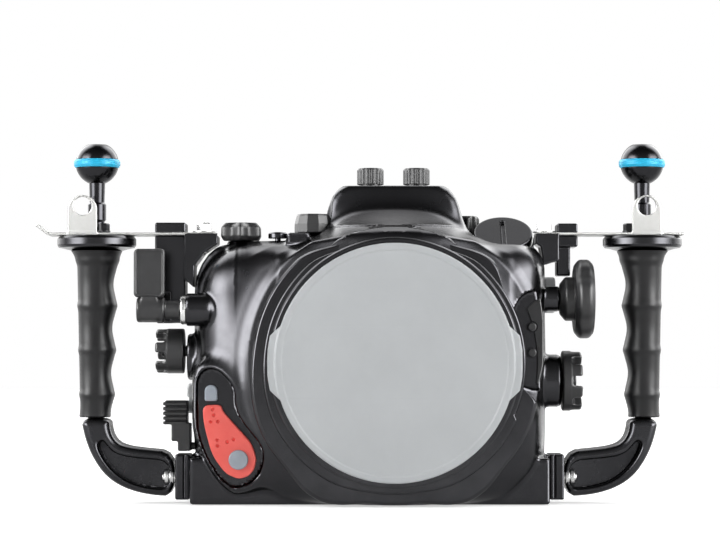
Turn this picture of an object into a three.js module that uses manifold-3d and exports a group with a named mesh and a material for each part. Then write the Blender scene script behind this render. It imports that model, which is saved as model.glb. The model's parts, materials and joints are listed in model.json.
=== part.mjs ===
// An underwater housing for a mirrorless camera, with two rubber-gripped handles and light-arm balls.
// Millimetres. X = 0 is the port axis, Y = 0 lies inside the front half and Z = 0 is the base.
// The port faces -Y, and left and right are as seen from the front.
import * as THREE from "three";
import { mergeVertices } from "three/addons/utils/BufferGeometryUtils.js";
import Module from "manifold-3d";

const wasm = await Module();
wasm.setup();

// Fits, cuts and facets
const fit = 0.3; // between faces that seat on each other
const running = 0.35; // between a shaft and its hole, on the radius
const overrun = 3; // how far a cut passes the face that it opens
const reach = 3; // how far a control's stem passes the wall's inner face
const weld = 0.0005; // corners closer than this are one
const round_sides = 20;
const wide_sides = 36;
const small_sides = 8;
const hex_sides = 6;

// Port: the opening, its raised collar and the bayonet ring on it
const port = {
  z: 82.3, // axis above the base
  bore: 60,
  collar: 75,
  front: -56,
  step: 7, // width of the lower step round the collar
  step_drop: 5.8, // its face behind the collar's
  step_edge: 0.9,
};
const port_ring = {
  lip: 1, // bore of the ring past the port's, on the radius
  margin: 3, // outer edge inside the collar's
  depth: 5.6,
  lug_reach: 2.6,
  lug_depth: 2.2,
  lug_gap: 30,
  lugs: 3,
};
const port_seal = { width: 1.9, depth: 2.4, back: 4.4 };
const cap = {
  margin: 3.5, // edge inside the ring's
  depth: 4.4,
  rim_width: 4,
  rim_depth: 0.6,
  edge: 0.8,
  spigot_gap: 1.2, // to the ring's lugs
  spigot_wall: 3,
  spigot_depth: 9,
  tab: 4.2, // reach of a tab past the edge
  tab_half: 17.5,
  tab_slope: 7,
};

// Hull: the outline that both halves share
const hull = {
  left: 116.7,
  right: 87,
  roof: 152.3,
  foot_round: 8,
  shoulder_drop: 26.7, // the left shoulder, down from the roof and in from the left wall
  bow_inset: 2.7,
  bow_drop: 13.3,
  shoulder_inset: 12.7,
  shoulder_rise: 1.9,
  shoulder_end: 19.7,
  right_round: 14,
  joint_y: 20, // rear face of the front half
  arc_steps: 3,
  step: 18, // longest edge along the outline
};
const hump = {
  half: 40, // at the waist
  height: 34.5, // above the roof
  edge: 4, // bevel between its face and its cheeks
};
// Half widths of the hump from its foot up to its crown, and the heights of the middle ones
const hump_width_shares = { foot: 1.35, flare: 1.075, cheek: 0.935, brow: 0.8925, corner: 0.8, crown: 0.5 };
const hump_height_shares = { waist: 0.252, cheek: 0.542, brow: 0.687 };
const foot = { left_ledge: 2.3, right_ledge: 3.6, height: 27, front: -30, edge: 2 };
const cavity = {
  left_wall: 11.7,
  right_wall: 12,
  floor: 14,
  roof_wall: 12.3,
  round: 10,
  front: -26,
  hump_side: 18,
  hump_wall: 9.8,
  hump_front: -8,
};
// Each pair is a share of the way from the collar out to the outline, and one of the way from the joint
// to the collar's front.
const side_profile_shares = [
  [1, 0],
  [1, 0.44],
  [0.93, 0.64],
  [0.82, 0.7],
  [0.6, 0.745],
  [0.15, 0.85],
  [0.05, 0.92],
  [0, 1],
];
const hump_profile_shares = [
  [1, 0],
  [1, 0.32],
  [0.93, 0.42],
  [0.66, 0.54],
  [0.46, 0.64],
  [0.36, 0.76],
  [0.22, 0.92],
  [0, 1],
];

// Rear half, its window and its viewfinder
const rear = { depth: 31.7, wall: 6, edge: 9, edge_inset: 7, edge_steps: 3 };
const seal = { inset: 3.4, width: 2.4, depth: 2.2 };
const rear_window = {
  x: 12,
  z: 70,
  half_width: 44,
  half_height: 31,
  round: 6,
  ledge: 4,
  pane: 3.4,
  frame_lap: 3,
  frame_rim: 8,
  frame_depth: 2.2,
};
const eyepiece = {
  z: 138,
  bore: 12,
  opening: 0.5, // each of these four is past the one before, on the radius
  lens: 1.6,
  body: 3.9,
  mouth: 2.5,
  flange: 3.5, // past the body
  flange_depth: 3.6,
  depth: 20,
  lens_depth: 4,
  lens_back: 6,
};

// Port lock, lower left of the port
const lock = {
  x: -90.2,
  z: 26.4,
  floor: -34,
  reach: 32,
  thickness: 4.4,
  lift: 0.6,
  pin: 2.8,
  pin_depth: 6,
  head: 5.7,
  head_depth: 1.6,
  hole: 0.8,
  hole_depth: 1.2,
  edge: 0.7,
};
// Outlines and holes of the lock, across and up from its pivot, as shares of the lever's reach
const lever_shares = [
  [-0.653, 0.984],
  [-0.316, 0.997],
  [-0.281, 0.872],
  [0.019, 0.544],
  [0.231, 0.312],
  [0.325, 0.047],
  [0.294, -0.163],
  [0.188, -0.294],
  [0.003, -0.353],
  [-0.237, -0.25],
  [-0.481, 0.091],
  [-0.628, 0.641],
];
const recess_shares = [
  [-0.747, 1.584],
  [-0.431, 1.691],
  [-0.059, 1.306],
  [-0.062, 0.944],
  [0.05, 0.7],
  [0.388, 0.306],
  [0.475, 0.047],
  [0.394, -0.272],
  [0.175, -0.463],
  [-0.15, -0.519],
  [-0.481, -0.15],
  [-0.759, 0.475],
  [-0.766, 1.137],
];
const lever_hole_shares = [
  [-0.466, 0.912],
  [-0.447, 0.806],
  [-0.503, 0.688],
  [-0.372, 0.694],
  [-0.384, 0.356],
  [-0.378, 0.253],
  [-0.203, 0.325],
  [-0.091, 0.369],
];
const catch_tongue = { inset: 16, half: 3.7, gap: 1.9, height: 9.3, depth: 3.6, edge: 0.6 };

// Controls on top
const bulkhead_cap = {
  x: 13.7,
  y: 4,
  radius: 7.9,
  height: 11,
  flutes: 14,
  flute: 0.7,
  base: 1.4,
  stem: 4.5,
  stem_depth: 6,
};
const plug = {
  x: 64.7,
  y: -8,
  z: 159.6,
  tilt: 35, // degrees from upright, towards the front
  radius: 17.3,
  depth: 5,
  slot: 2,
  slot_depth: 1.6,
  boss_rim: 1.1,
  boss_depth: 17,
  relief: 20,
  stem: 12,
  stem_depth: 7,
  edge: 0.8,
};
const star_dial = {
  x: -90.3,
  y: -4,
  standoff: 2.4, // above the roof
  height: 10.7,
  radius: 13.3,
  lobe: 3,
  lobes: 6,
  boss: 8,
  stem: 3,
};
const top_button = {
  x: -68.4,
  y: -8,
  standoff: 3.4,
  height: 3.8,
  radius: 5.7,
  edge: 1,
  boss: 4.4,
  boss_height: 1,
  stem: 2,
};
const mode_dial = {
  x: -47.5,
  y: -11,
  standoff: 6.5,
  height: 11.2,
  radius: 11,
  taper: 1.4,
  facets: 10,
  boss: 9,
  stem: 3,
  relief: 0.8,
};
const roof_boss = { x: -55.6, y: -13, radius: 7, height: 6.1 };
const rear_dial = {
  x: 44.4,
  y: 11,
  standoff: 5.9,
  height: 11.8,
  radius: 7,
  lobe: 1.2,
  lobes: 8,
  boss: 6,
  stem: 2.4,
  relief: 1,
};

// Controls on the left
const shutter = {
  y: -28,
  z: 113.4,
  hub: 7.4,
  bush_standoff: 4.6, // from the wall, then each outward from the one before
  bush_depth: 3.1,
  hub_gap: 9.2,
  hub_depth: 16.4,
  pad_overhang: 1.5,
  pad_rise: 0.5, // above the hub
  pad_height: 27.5,
  pad_depth: 5,
  pad_edge: 1.6,
  pad_setback: 1.6, // pad's back before the axis
  arm_half: 5,
  shaft: 3.4,
  bushing: 8.6,
  boss: 9.5,
  boss_inset: 6.7, // from the wall to where the boss starts to narrow
  boss_tip: 9,
};
const side_knob = {
  y: -6,
  z: 89.4,
  standoff: 6.6,
  depth: 17.1,
  radius: 13.2,
  lobe: 3.2,
  lobes: 6,
  boss: 13.6,
  boss_height: 4.8,
  boss_drop: 3.4,
  stem: 3.4,
  screw: 4,
  screw_depth: 1.5,
};
const left_latch = {
  standoff: 0,
  y: 9.8,
  z: 61.2,
  radius: 8.9,
  depth: 5.6,
  edge: 1.4,
  stem: 3,
  slot: 2,
  slot_depth: 1.2,
};
const right_latch = {
  standoff: 2.1,
  y: 8.6,
  z: 122.8,
  radius: 10.7,
  depth: 7,
  edge: 1.4,
  stem: 3,
  slot: 2.2,
  slot_depth: 1.4,
};
const thumb = {
  y: -8,
  half: 7,
  standoff: 4.6,
  depth: 14.4,
  height: 14.1,
  arm_standoff: 2.7,
  arm_depth: 11.3,
  arm_height: 9.8,
  post_depth: 7.6,
  post_height: 5.8,
  post_low: 30.6,
  pivot_rise: 2.9, // above the post's foot
  pivot: 2.2,
  pin_depth: 6.6,
  ribs: 5,
  rib: 1.2,
  rib_share: 0.5, // of a rib's step that is raised
  valley_share: 0.9,
};

// Controls on the right
const focus = {
  y: -16,
  z: 119.9,
  standoff: 10.3,
  hub_depth: 8.4,
  depth: 11.2,
  radius: 23.2,
  scallop: 2.2,
  scallops: 16,
  hub: 12.9,
  boss: 9,
  stem: 3.6,
  dish: 14,
  dish_depth: 3,
};
const zoom = {
  z: 71.9,
  standoff: 11.3,
  depth: 11.9,
  radius: 17.6,
  lobe: 3.4,
  lobes: 8,
  boss: 15.4,
  stem: 3.4,
  screw: 5,
  screw_depth: 1.5,
};
const bevel_gear = {
  wall_gap: 0.6, // behind its hub
  front_gap: 0.4, // before the flat gear
  pitch: 9,
  teeth: 10,
  tip: 0.5,
  root: 1.6,
  inner_share: 0.62,
  hub: 5,
  hub_depth: 2.4,
  spur: 10,
  spur_depth: 1.6,
  spur_gap: 1,
  stem: 2.2,
  stem_end: -31,
};
const release = {
  width: 24.4,
  margin: 0.6, // inside the right wall
  low: 68.6,
  height: 52.9,
  back: -36.6,
  depth: 2.6,
  edge: 0.5,
  inset: 6.8, // buttons in from the plate's edge
  upper_rise: 34.6,
  lower_rise: 19.6,
  radius: 2.7,
  proud: 2.4,
  travel: 1.5,
  stem: 1.4,
};

// Rear controls
const rear_wheel = {
  x: -62,
  z: 62,
  radius: 16.5,
  depth: 6,
  lobe: 1.2,
  lobes: 14,
  hub: 8,
  stem: 3.4,
};
const rear_button = { radius: 5, cap_depth: 3, edge: 0.9, lift: 2.6, stem: 2 };
const rear_button_places = {
  rear_button_menu_side: { x: -92, z: 98 },
  rear_button_upper: { x: -69, z: 98 },
  rear_button_window_side: { x: -49, z: 112 },
};
const tray = { left: 58, right: 48, front: -16, back: 16, thickness: 4, lip: 3, lip_height: 4 };

// Handles: both hang from the case at the same distance from the handles' own middle plane
const handle = {
  arm_half: 14,
  web_half: 3,
  flange: 2.5,
  edge: 1,
  round_share: 0.2, // how much of each side its round corner takes
  reach: 47.3, // bolted face to the grip's middle
  top: 50,
  core: 7,
  shift: -0.05, // middle plane of the pair from the foot's
  pad: 0.55, // the foot's pads past its ends
};
// Outline of an arm and of the pocket in each side, as shares of its reach outward and of its top
const arm_shares = [
  [0, 0.068],
  [0.423, 0.11],
  [0.71, 0.192],
  [0.93, 0.42],
  [1.087, 0.73],
  [1.19, 1],
  [0.81, 1],
  [0.795, 0.88],
  [0.725, 0.73],
  [0.433, 0.648],
  [0, 0.612],
];
const arm_pocket_shares = [
  [0.053, 0.148],
  [0.41, 0.188],
  [0.668, 0.264],
  [0.858, 0.46],
  [1.006, 0.76],
  [0.875, 0.76],
  [0.782, 0.652],
  [0.452, 0.564],
  [0.053, 0.528],
];
const side_block = { depth: 9.3, low: 2, high: 28.8, edge: 1.2 };
const handle_bolt = {
  y: -8.6,
  z: 15.2,
  head: 4.6,
  washer: 4.8,
  washer_depth: 1.6,
  head_depth: 3,
  shank: 2.8,
  engaged: 9,
};
const grip = {
  length: 98.2,
  wide_low: 9.2,
  wide_high: 11.7,
  deep_low: 12.5,
  deep_high: 15.5,
  wave: 1.3,
  ridge: 39.7, // height of one finger ridge above the grip's foot
  pitch: 26.3, // from ridge to ridge
  sections: 13,
  sides: 12,
};
const disc = { radius: 23.3, depth: 8.6, edge: 1.6, neck: 15, neck_depth: 2, pocket: 8 };
const strap = {
  thickness: 1.6,
  half: 12,
  hook: 6.8, // length and rise of the left end's bend
  hook_rise: 5.5,
  hook_start: 27.8, // past the grip's middle
  end: 23.6,
  overlap: 18.6, // how far each bar lies on its bracket
  right_overlap: 13.4,
  hole: 3.2,
};
const eye = {
  left: 7.5, // outward from the grip's middle
  right: 1.6,
  half: 8.6,
  height: 23.7,
  hole: 5.4,
  hole_rise: 15.6,
};
const post_left = {
  ledge: 6.9, // outer face past the wall
  width: 19.8,
  wedge: 0.5,
  low: 25.9, // below the roof
  side_low: 20.3,
  front: -13,
  back: 12.6,
  bolt: 11.3, // in from the outer face
};
const post_right = {
  ledge: 10.4,
  width: 13.6,
  low: 12.6,
  front: -13,
  back: 12.6,
  bolt: 8,
};
const block_left = { lap: 0.4, width: 18.1, height: 59.5, rise: 7.8, front: -6, back: 17 };
const block_right = {
  lap: 0.4,
  width: 12,
  height: 14,
  rise: 7.3,
  front: -6,
  back: 17,
  neck_width: 8.2,
  neck_depth: 17,
  neck_front: 2,
};
const strap_bolt = {
  head: 4.7,
  head_depth: 5,
  washer: 7,
  washer_depth: 1,
  shank: 2.6,
  shank_depth: 10,
};
const eye_bolt = {
  left: -5.1, // outward from the grip's middle
  left_y: -7.4,
  right: -8.7,
  right_y: -6,
  head: 3.2,
  head_depth: 4.4,
  washer: 3.6,
  washer_depth: 0.9,
};
const ball = {
  rise: 41.4, // its middle above the strap
  radius: 12.7,
  flat: 11.4,
  collar: 5.4,
  collar_rise: 7.2,
  collar_height: 10.5,
  stem: 4.35,
  stud: 2.8,
  stud_depth: 8,
  groove: 11.4,
  ring: 13.7,
  ring_half: 2.4,
  arc_steps: 5,
};

// Places that follow from the sizes
const hump_top = hull.roof + hump.height;
const cavity_left = hull.left - cavity.left_wall;
const cavity_right = hull.right - cavity.right_wall;
const cavity_ceiling = hull.roof - cavity.roof_wall;
const foot_left = hull.left + foot.left_ledge;
const foot_right = hull.right + foot.right_ledge;
const ring_inner = port.bore + port_ring.lip;
const ring_outer = port.collar - port_ring.margin;
const lug_inner = ring_inner - port_ring.lug_reach;
const cap_radius = ring_outer - cap.margin;
const spigot_radius = lug_inner - cap.spigot_gap;
const eyepiece_lens_radius = eyepiece.bore + eyepiece.lens;
const eyepiece_radius = eyepiece_lens_radius + eyepiece.body;
const catch_low = lock.reach + catch_tongue.gap;
const plug_boss = plug.radius + plug.boss_rim;
const above = (control) => hull.roof + control.standoff;
const shutter_bush_inner = -hull.left - shutter.bush_standoff;
const shutter_bush_outer = shutter_bush_inner - shutter.bush_depth;
const shutter_hub_inner = shutter_bush_outer - shutter.hub_gap;
const shutter_hub_outer = shutter_hub_inner - shutter.hub_depth;
const shutter_pad_low = shutter.z + shutter.hub + shutter.pad_rise;
const shutter_boss_end = -hull.left + shutter.boss_inset;
const side_knob_inner = -hull.left - side_knob.standoff;
const side_knob_outer = side_knob_inner - side_knob.depth;
const thumb_inner = hull.left + thumb.standoff;
const thumb_outer = thumb_inner + thumb.depth;
const thumb_arm_inner = hull.left + thumb.arm_standoff;
const thumb_arm_low = thumb.post_low + thumb.post_height;
const thumb_low = thumb_arm_low + thumb.arm_height;
const thumb_high = thumb_low + thumb.height;
const thumb_pivot_z = thumb.post_low + thumb.pivot_rise;
const focus_hub_inner = hull.right + focus.standoff;
const focus_inner = focus_hub_inner + focus.hub_depth;
const focus_outer = focus_inner + focus.depth;
const zoom_inner = hull.right + zoom.standoff;
const zoom_outer = zoom_inner + zoom.depth;
const bevel_x = cavity_right - bevel_gear.wall_gap - bevel_gear.hub_depth - bevel_gear.pitch;
const spur_front = cavity.front + bevel_gear.front_gap;
const zoom_y = spur_front + bevel_gear.spur_depth + bevel_gear.spur_gap + bevel_gear.pitch;
const release_right = hull.right - release.margin;
const release_left = release_right - release.width;
const release_high = release.low + release.height;
const release_x = release_right - release.inset;
const release_heights = [release.upper_rise, release.lower_rise].map((rise) => release.low + rise);
const handle_middle = (foot_right - foot_left) / 2 + handle.shift;
const handle_half = (foot_right + foot_left) / 2 + handle.pad + side_block.depth;
const grip_low = handle.top + fit;
const grip_high = grip_low + grip.length;
const disc_low = grip_high + fit;
const disc_high = disc_low + disc.depth;
const strap_low = disc_high + fit;
const strap_high = strap_low + strap.thickness;
const ball_z = strap_high + ball.rise;

// Helpers: closed solids from three.js geometry, joined and cut as manifolds

const X = new THREE.Vector3(1, 0, 0);
const Y = new THREE.Vector3(0, 1, 0);
const Z = new THREE.Vector3(0, 0, 1);
const UP_THEN_BACK = new THREE.Matrix4().makeBasis(X, Z, Y.clone().negate());

/** The solid inside a closed geometry. */
function solid(geometry) {
  const bare = geometry.clone();
  bare.deleteAttribute("normal");
  bare.deleteAttribute("uv");
  const merged = mergeVertices(bare, weld);
  const vertProperties = merged.attributes.position.array;
  const triVerts = new Uint32Array(merged.index.array);
  return new wasm.Manifold(new wasm.Mesh({ numProp: 3, vertProperties, triVerts }));
}

/** A mesh of a solid, with its name and material. */
function piece(name, body, material) {
  const mesh = body.getMesh();
  const geometry = new THREE.BufferGeometry();
  geometry.setAttribute("position", new THREE.BufferAttribute(new Float32Array(mesh.vertProperties), 3));
  geometry.setIndex(new THREE.BufferAttribute(new Uint32Array(mesh.triVerts), 1));
  geometry.computeVertexNormals();
  const made = new THREE.Mesh(geometry, material);
  made.name = name;
  return made;
}

/** Lays a geometry made along +Y along a direction, and moves it to a place. */
function aim(geometry, direction, place) {
  const turn = new THREE.Quaternion().setFromUnitVectors(Y, direction);
  return geometry.applyQuaternion(turn).translate(...place);
}

/** A round bar from low to high along a direction. */
function rod(radius, low, high, direction, place, sides = round_sides) {
  const geometry = new THREE.CylinderGeometry(radius, radius, high - low, sides);
  return solid(aim(geometry.translate(0, (low + high) / 2, 0), direction, place));
}

/** A turned body: its profile lists radius and height, from the axis out and back to the axis. */
function turned(profile, direction, place, sides = round_sides) {
  const points = profile.map(([radius, height]) => new THREE.Vector2(radius, height));
  return solid(aim(new THREE.LatheGeometry(points, sides), direction, place));
}

/** A rectangular block between two corners. */
function block([x0, x1], [y0, y1], [z0, z1]) {
  const geometry = new THREE.BoxGeometry(x1 - x0, y1 - y0, z1 - z0);
  return solid(geometry.translate((x0 + x1) / 2, (y0 + y1) / 2, (z0 + z1) / 2));
}

/** An outline drawn in the front view, from one depth to another, with its edges bevelled. */
function prism(shape, low, high, bevel = 0) {
  const options = {
    depth: high - low - 2 * bevel,
    bevelEnabled: bevel > 0,
    bevelThickness: bevel,
    bevelSize: bevel,
    bevelOffset: -bevel,
    bevelSegments: 1,
    curveSegments: 2,
  };
  const geometry = new THREE.ExtrudeGeometry(shape, options);
  geometry.translate(0, 0, bevel - high);
  return solid(geometry.applyMatrix4(UP_THEN_BACK));
}

/** A shape through corner points. */
function corners(points) {
  return new THREE.Shape(points.map(([u, v]) => new THREE.Vector2(u, v)));
}

/** A shape through corner points with every corner rounded by the same share of its sides. */
function softened(points, share = 0.3) {
  const at = points.map(([u, v]) => new THREE.Vector2(u, v));
  const shape = new THREE.Shape();
  at.forEach((corner, i) => {
    const before = at[(i + at.length - 1) % at.length];
    const after = at[(i + 1) % at.length];
    const enter = corner.clone().lerp(before, share);
    const leave = corner.clone().lerp(after, share);
    if (i) shape.lineTo(enter.x, enter.y);
    else shape.moveTo(enter.x, enter.y);
    shape.quadraticCurveTo(corner.x, corner.y, leave.x, leave.y);
  });
  shape.closePath();
  return shape;
}

/** A rectangle with round corners. */
function rounded(x0, x1, z0, z1, round) {
  const shape = new THREE.Shape();
  shape.moveTo(x0 + round, z0);
  shape.lineTo(x1 - round, z0);
  shape.quadraticCurveTo(x1, z0, x1, z0 + round);
  shape.lineTo(x1, z1 - round);
  shape.quadraticCurveTo(x1, z1, x1 - round, z1);
  shape.lineTo(x0 + round, z1);
  shape.quadraticCurveTo(x0, z1, x0, z1 - round);
  shape.lineTo(x0, z0 + round);
  shape.quadraticCurveTo(x0, z0, x0 + round, z0);
  return shape;
}

/** A round outline with lobes: a sharper valley leaves wider lobes. */
function lobed(radius, depth, count, sharpness = 1, steps = 5) {
  const points = [];
  for (let i = 0; i < count * steps; i++) {
    const angle = (i / (count * steps)) * 2 * Math.PI;
    const valley = Math.pow(0.5 - 0.5 * Math.cos(count * angle), sharpness);
    const reach = radius - depth * valley;
    points.push([reach * Math.cos(angle), reach * Math.sin(angle)]);
  }
  return points;
}

/** A lobed knob head along a direction, with both edges bevelled. */
function knob(outline, low, high, direction, place, bevel) {
  const shape = corners(outline);
  const options = {
    depth: high - low - 2 * bevel,
    bevelThickness: bevel,
    bevelSize: bevel,
    bevelOffset: -bevel,
    bevelSegments: 1,
    curveSegments: 1,
  };
  const geometry = new THREE.ExtrudeGeometry(shape, options);
  geometry.translate(0, 0, low + bevel);
  geometry.rotateX(-Math.PI / 2);
  return solid(aim(geometry, direction, place));
}

/** The body between rings of equally many points, closed by a fan about each end's centre. */
function loft(rings, centres) {
  const count = rings[0].length;
  const points = [...rings.flat(), ...centres];
  const index = [];
  const last = (rings.length - 1) * count;
  for (let i = 0; i < count; i++) {
    const next = (i + 1) % count;
    for (let r = 0; r < last; r += count) {
      index.push(r + i, r + next, r + i + count);
      index.push(r + next, r + next + count, r + i + count);
    }
    index.push(next, i, points.length - 2);
    index.push(last + i, last + next, points.length - 1);
  }
  const geometry = new THREE.BufferGeometry().setFromPoints(points);
  geometry.setIndex(index);
  return solid(geometry);
}

// Hull

/** The outline of both halves, seen from the front, as points no further apart than the step. */
function hullOutline() {
  const shape = new THREE.Shape();
  const hump_x = (name) => hump.half * hump_width_shares[name];
  const hump_z = (name) => hull.roof + hump.height * hump_height_shares[name];
  const shoulder_x = hull.left - hull.shoulder_inset;
  const shoulder_z = hull.roof - hull.shoulder_rise;
  shape.moveTo(hull.right - hull.foot_round, 0);
  shape.quadraticCurveTo(hull.right, 0, hull.right, hull.foot_round);
  shape.lineTo(hull.right, hull.roof - hull.right_round);
  shape.quadraticCurveTo(hull.right, hull.roof, hull.right - hull.right_round, hull.roof);
  shape.lineTo(hump_x("foot"), hull.roof);
  shape.quadraticCurveTo(hump_x("flare"), hull.roof, hump.half, hump_z("waist"));
  shape.quadraticCurveTo(hump_x("cheek"), hump_z("cheek"), hump_x("brow"), hump_z("brow"));
  shape.quadraticCurveTo(hump_x("corner"), hump_top, hump_x("crown"), hump_top);
  shape.lineTo(-hump_x("crown"), hump_top);
  shape.quadraticCurveTo(-hump_x("corner"), hump_top, -hump_x("brow"), hump_z("brow"));
  shape.quadraticCurveTo(-hump_x("cheek"), hump_z("cheek"), -hump.half, hump_z("waist"));
  shape.quadraticCurveTo(-hump_x("flare"), hull.roof, -hump_x("foot"), hull.roof);
  shape.lineTo(hull.shoulder_end - hull.left, hull.roof);
  shape.quadraticCurveTo(-shoulder_x, hull.roof, -shoulder_x, shoulder_z);
  shape.quadraticCurveTo(
    hull.bow_inset - hull.left,
    hull.roof - hull.bow_drop,
    -hull.left,
    hull.roof - hull.shoulder_drop,
  );
  shape.lineTo(-hull.left, hull.foot_round);
  shape.quadraticCurveTo(-hull.left, 0, hull.foot_round - hull.left, 0);
  const points = shape.getPoints(hull.arc_steps);
  const close = (p, q) => p.distanceTo(q) < weld;
  const single = points.filter((p, i) => !close(p, points[(i + 1) % points.length]));
  return single.flatMap((p, i) => {
    const q = single[(i + 1) % single.length];
    const parts = Math.max(1, Math.round(p.distanceTo(q) / hull.step));
    return Array.from({ length: parts }, (_, k) => p.clone().lerp(q, k / parts));
  });
}

/** A ring of the hull's outline with each point moved along its line to the port axis. */
function hullRing(reachOf, depthOf) {
  const centre = new THREE.Vector2(0, port.z);
  return hullOutline().map((point) => {
    const away = point.clone().sub(centre);
    const reach = reachOf(away.length(), point);
    away.setLength(reach).add(centre);
    return new THREE.Vector3(away.x, depthOf(point), away.y);
  });
}

/** The hull's outline drawn in by an inset, as a flat shape. */
function hullShape(inset) {
  const ring = hullRing(
    (reach) => reach - inset,
    () => 0,
  );
  return corners(ring.map((p) => [p.x, p.z]));
}

/** The space for the camera, between two depths. */
function cameraSpace(front, back) {
  const section = rounded(-cavity_left, cavity_right, cavity.floor, cavity_ceiling, cavity.round);
  const body = prism(section, front, back);
  const finder_half = hump.half - cavity.hump_side;
  const finder = block(
    [-finder_half, finder_half],
    [Math.max(front, cavity.hump_front), back],
    [port.z, hump_top - cavity.hump_wall],
  );
  return body.add(finder);
}

/** The lower step round the collar, kept inside the hull's outline. */
function collarStep() {
  const radius = port.collar + port.step;
  const front = port.front + port.step_drop;
  const profile = [
    [0, cavity.front],
    [radius, cavity.front],
    [radius, front + port.step_edge],
    [radius - port.step_edge, front],
    [0, front],
  ];
  const step = turned(profile.reverse(), Y, [0, 0, port.z], wide_sides);
  return step.intersect(prism(hullShape(0), port.front, hull.joint_y));
}

/** The hump between upright cheeks, falling from its top to the step. */
function humpFront() {
  const depth = hull.joint_y - port.front;
  const root = port.z + port.collar;
  const fall = hump_profile_shares.slice(0, -1).map(([up, forward]) => {
    return [hull.joint_y - forward * depth, root + up * (hump_top - root)];
  });
  const front = fall[fall.length - 1][0];
  const side = corners([[hull.joint_y, port.z], ...fall, [front, port.z]]);
  const half = hump.half + hump.edge;
  const across = prism(side, -half, half, hump.edge).rotate([0, 0, 90]);
  return across.intersect(prism(hullShape(0), port.front, hull.joint_y));
}

/** The front half before anything is cut from it. */
function frontForm() {
  const depth = hull.joint_y - port.front;
  const brow_z = hull.roof + hump.height * hump_height_shares.brow;
  const humpWeight = ({ y }) => THREE.MathUtils.smoothstep(y, hull.roof, brow_z);
  const rings = side_profile_shares.map((side, i) => {
    const top = hump_profile_shares[i];
    const shareOf = (point, k) => THREE.MathUtils.lerp(side[k], top[k], humpWeight(point));
    return hullRing(
      (reach, point) => port.collar + shareOf(point, 0) * (reach - port.collar),
      (point) => hull.joint_y - shareOf(point, 1) * depth,
    );
  });
  const centres = [hull.joint_y, port.front].map((y) => new THREE.Vector3(0, y, port.z));
  return loft(rings, centres).add(collarStep()).add(humpFront());
}

const plugDirection = Z.clone().applyAxisAngle(X, THREE.MathUtils.degToRad(plug.tilt));
const plugPlace = [plug.x, plug.y, plug.z];

/** The bosses that stand on the front half. */
function frontBosses() {
  const upright = (at, root, top, radius) => rod(radius, root, top, Z, [at.x, at.y, 0], small_sides * 2);
  const latch_place = [0, right_latch.y, right_latch.z];
  const side_boss_place = [0, side_knob.y, side_knob.z - side_knob.boss_drop];
  const tip = [
    [0, shutter_bush_inner + fit],
    [shutter.boss, shutter_bush_inner + fit],
    [shutter.boss, shutter_boss_end],
    [0, shutter_boss_end + shutter.boss_tip],
  ];
  return [
    prism(
      rounded(-foot_left, foot_right, 0, foot.height, foot.edge),
      foot.front,
      hull.joint_y,
      foot.edge / 2,
    ),
    rod(plug_boss, -plug.boss_depth, -plug.depth - fit, plugDirection, plugPlace),
    upright(star_dial, cavity_ceiling, above(star_dial) - fit, star_dial.boss),
    upright(top_button, cavity_ceiling, hull.roof + top_button.boss_height, top_button.boss),
    upright(mode_dial, cavity_ceiling, above(mode_dial) - fit, mode_dial.boss),
    upright(rear_dial, cavity_ceiling, above(rear_dial) - fit, rear_dial.boss),
    upright(roof_boss, cavity_ceiling, hull.roof + roof_boss.height, roof_boss.radius),
    turned(tip, X, [0, shutter.y, shutter.z]),
    rod(side_knob.boss, -hull.left - side_knob.boss_height, -cavity_left, X, side_boss_place),
    rod(right_latch.radius, cavity_right, hull.right + right_latch.standoff, X, latch_place),
    rod(focus.boss, cavity_right, focus_hub_inner - fit, X, [0, focus.y, focus.z]),
    rod(zoom.boss, cavity_right, zoom_inner - fit, X, [0, zoom_y, zoom.z]),
  ];
}

/** The hole for a handle's bolt, between two places across. */
function boltHole(ends) {
  const place = [0, handle_bolt.y, handle_bolt.z];
  return rod(handle_bolt.shank + running, ...ends, X, place, small_sides);
}

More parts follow.
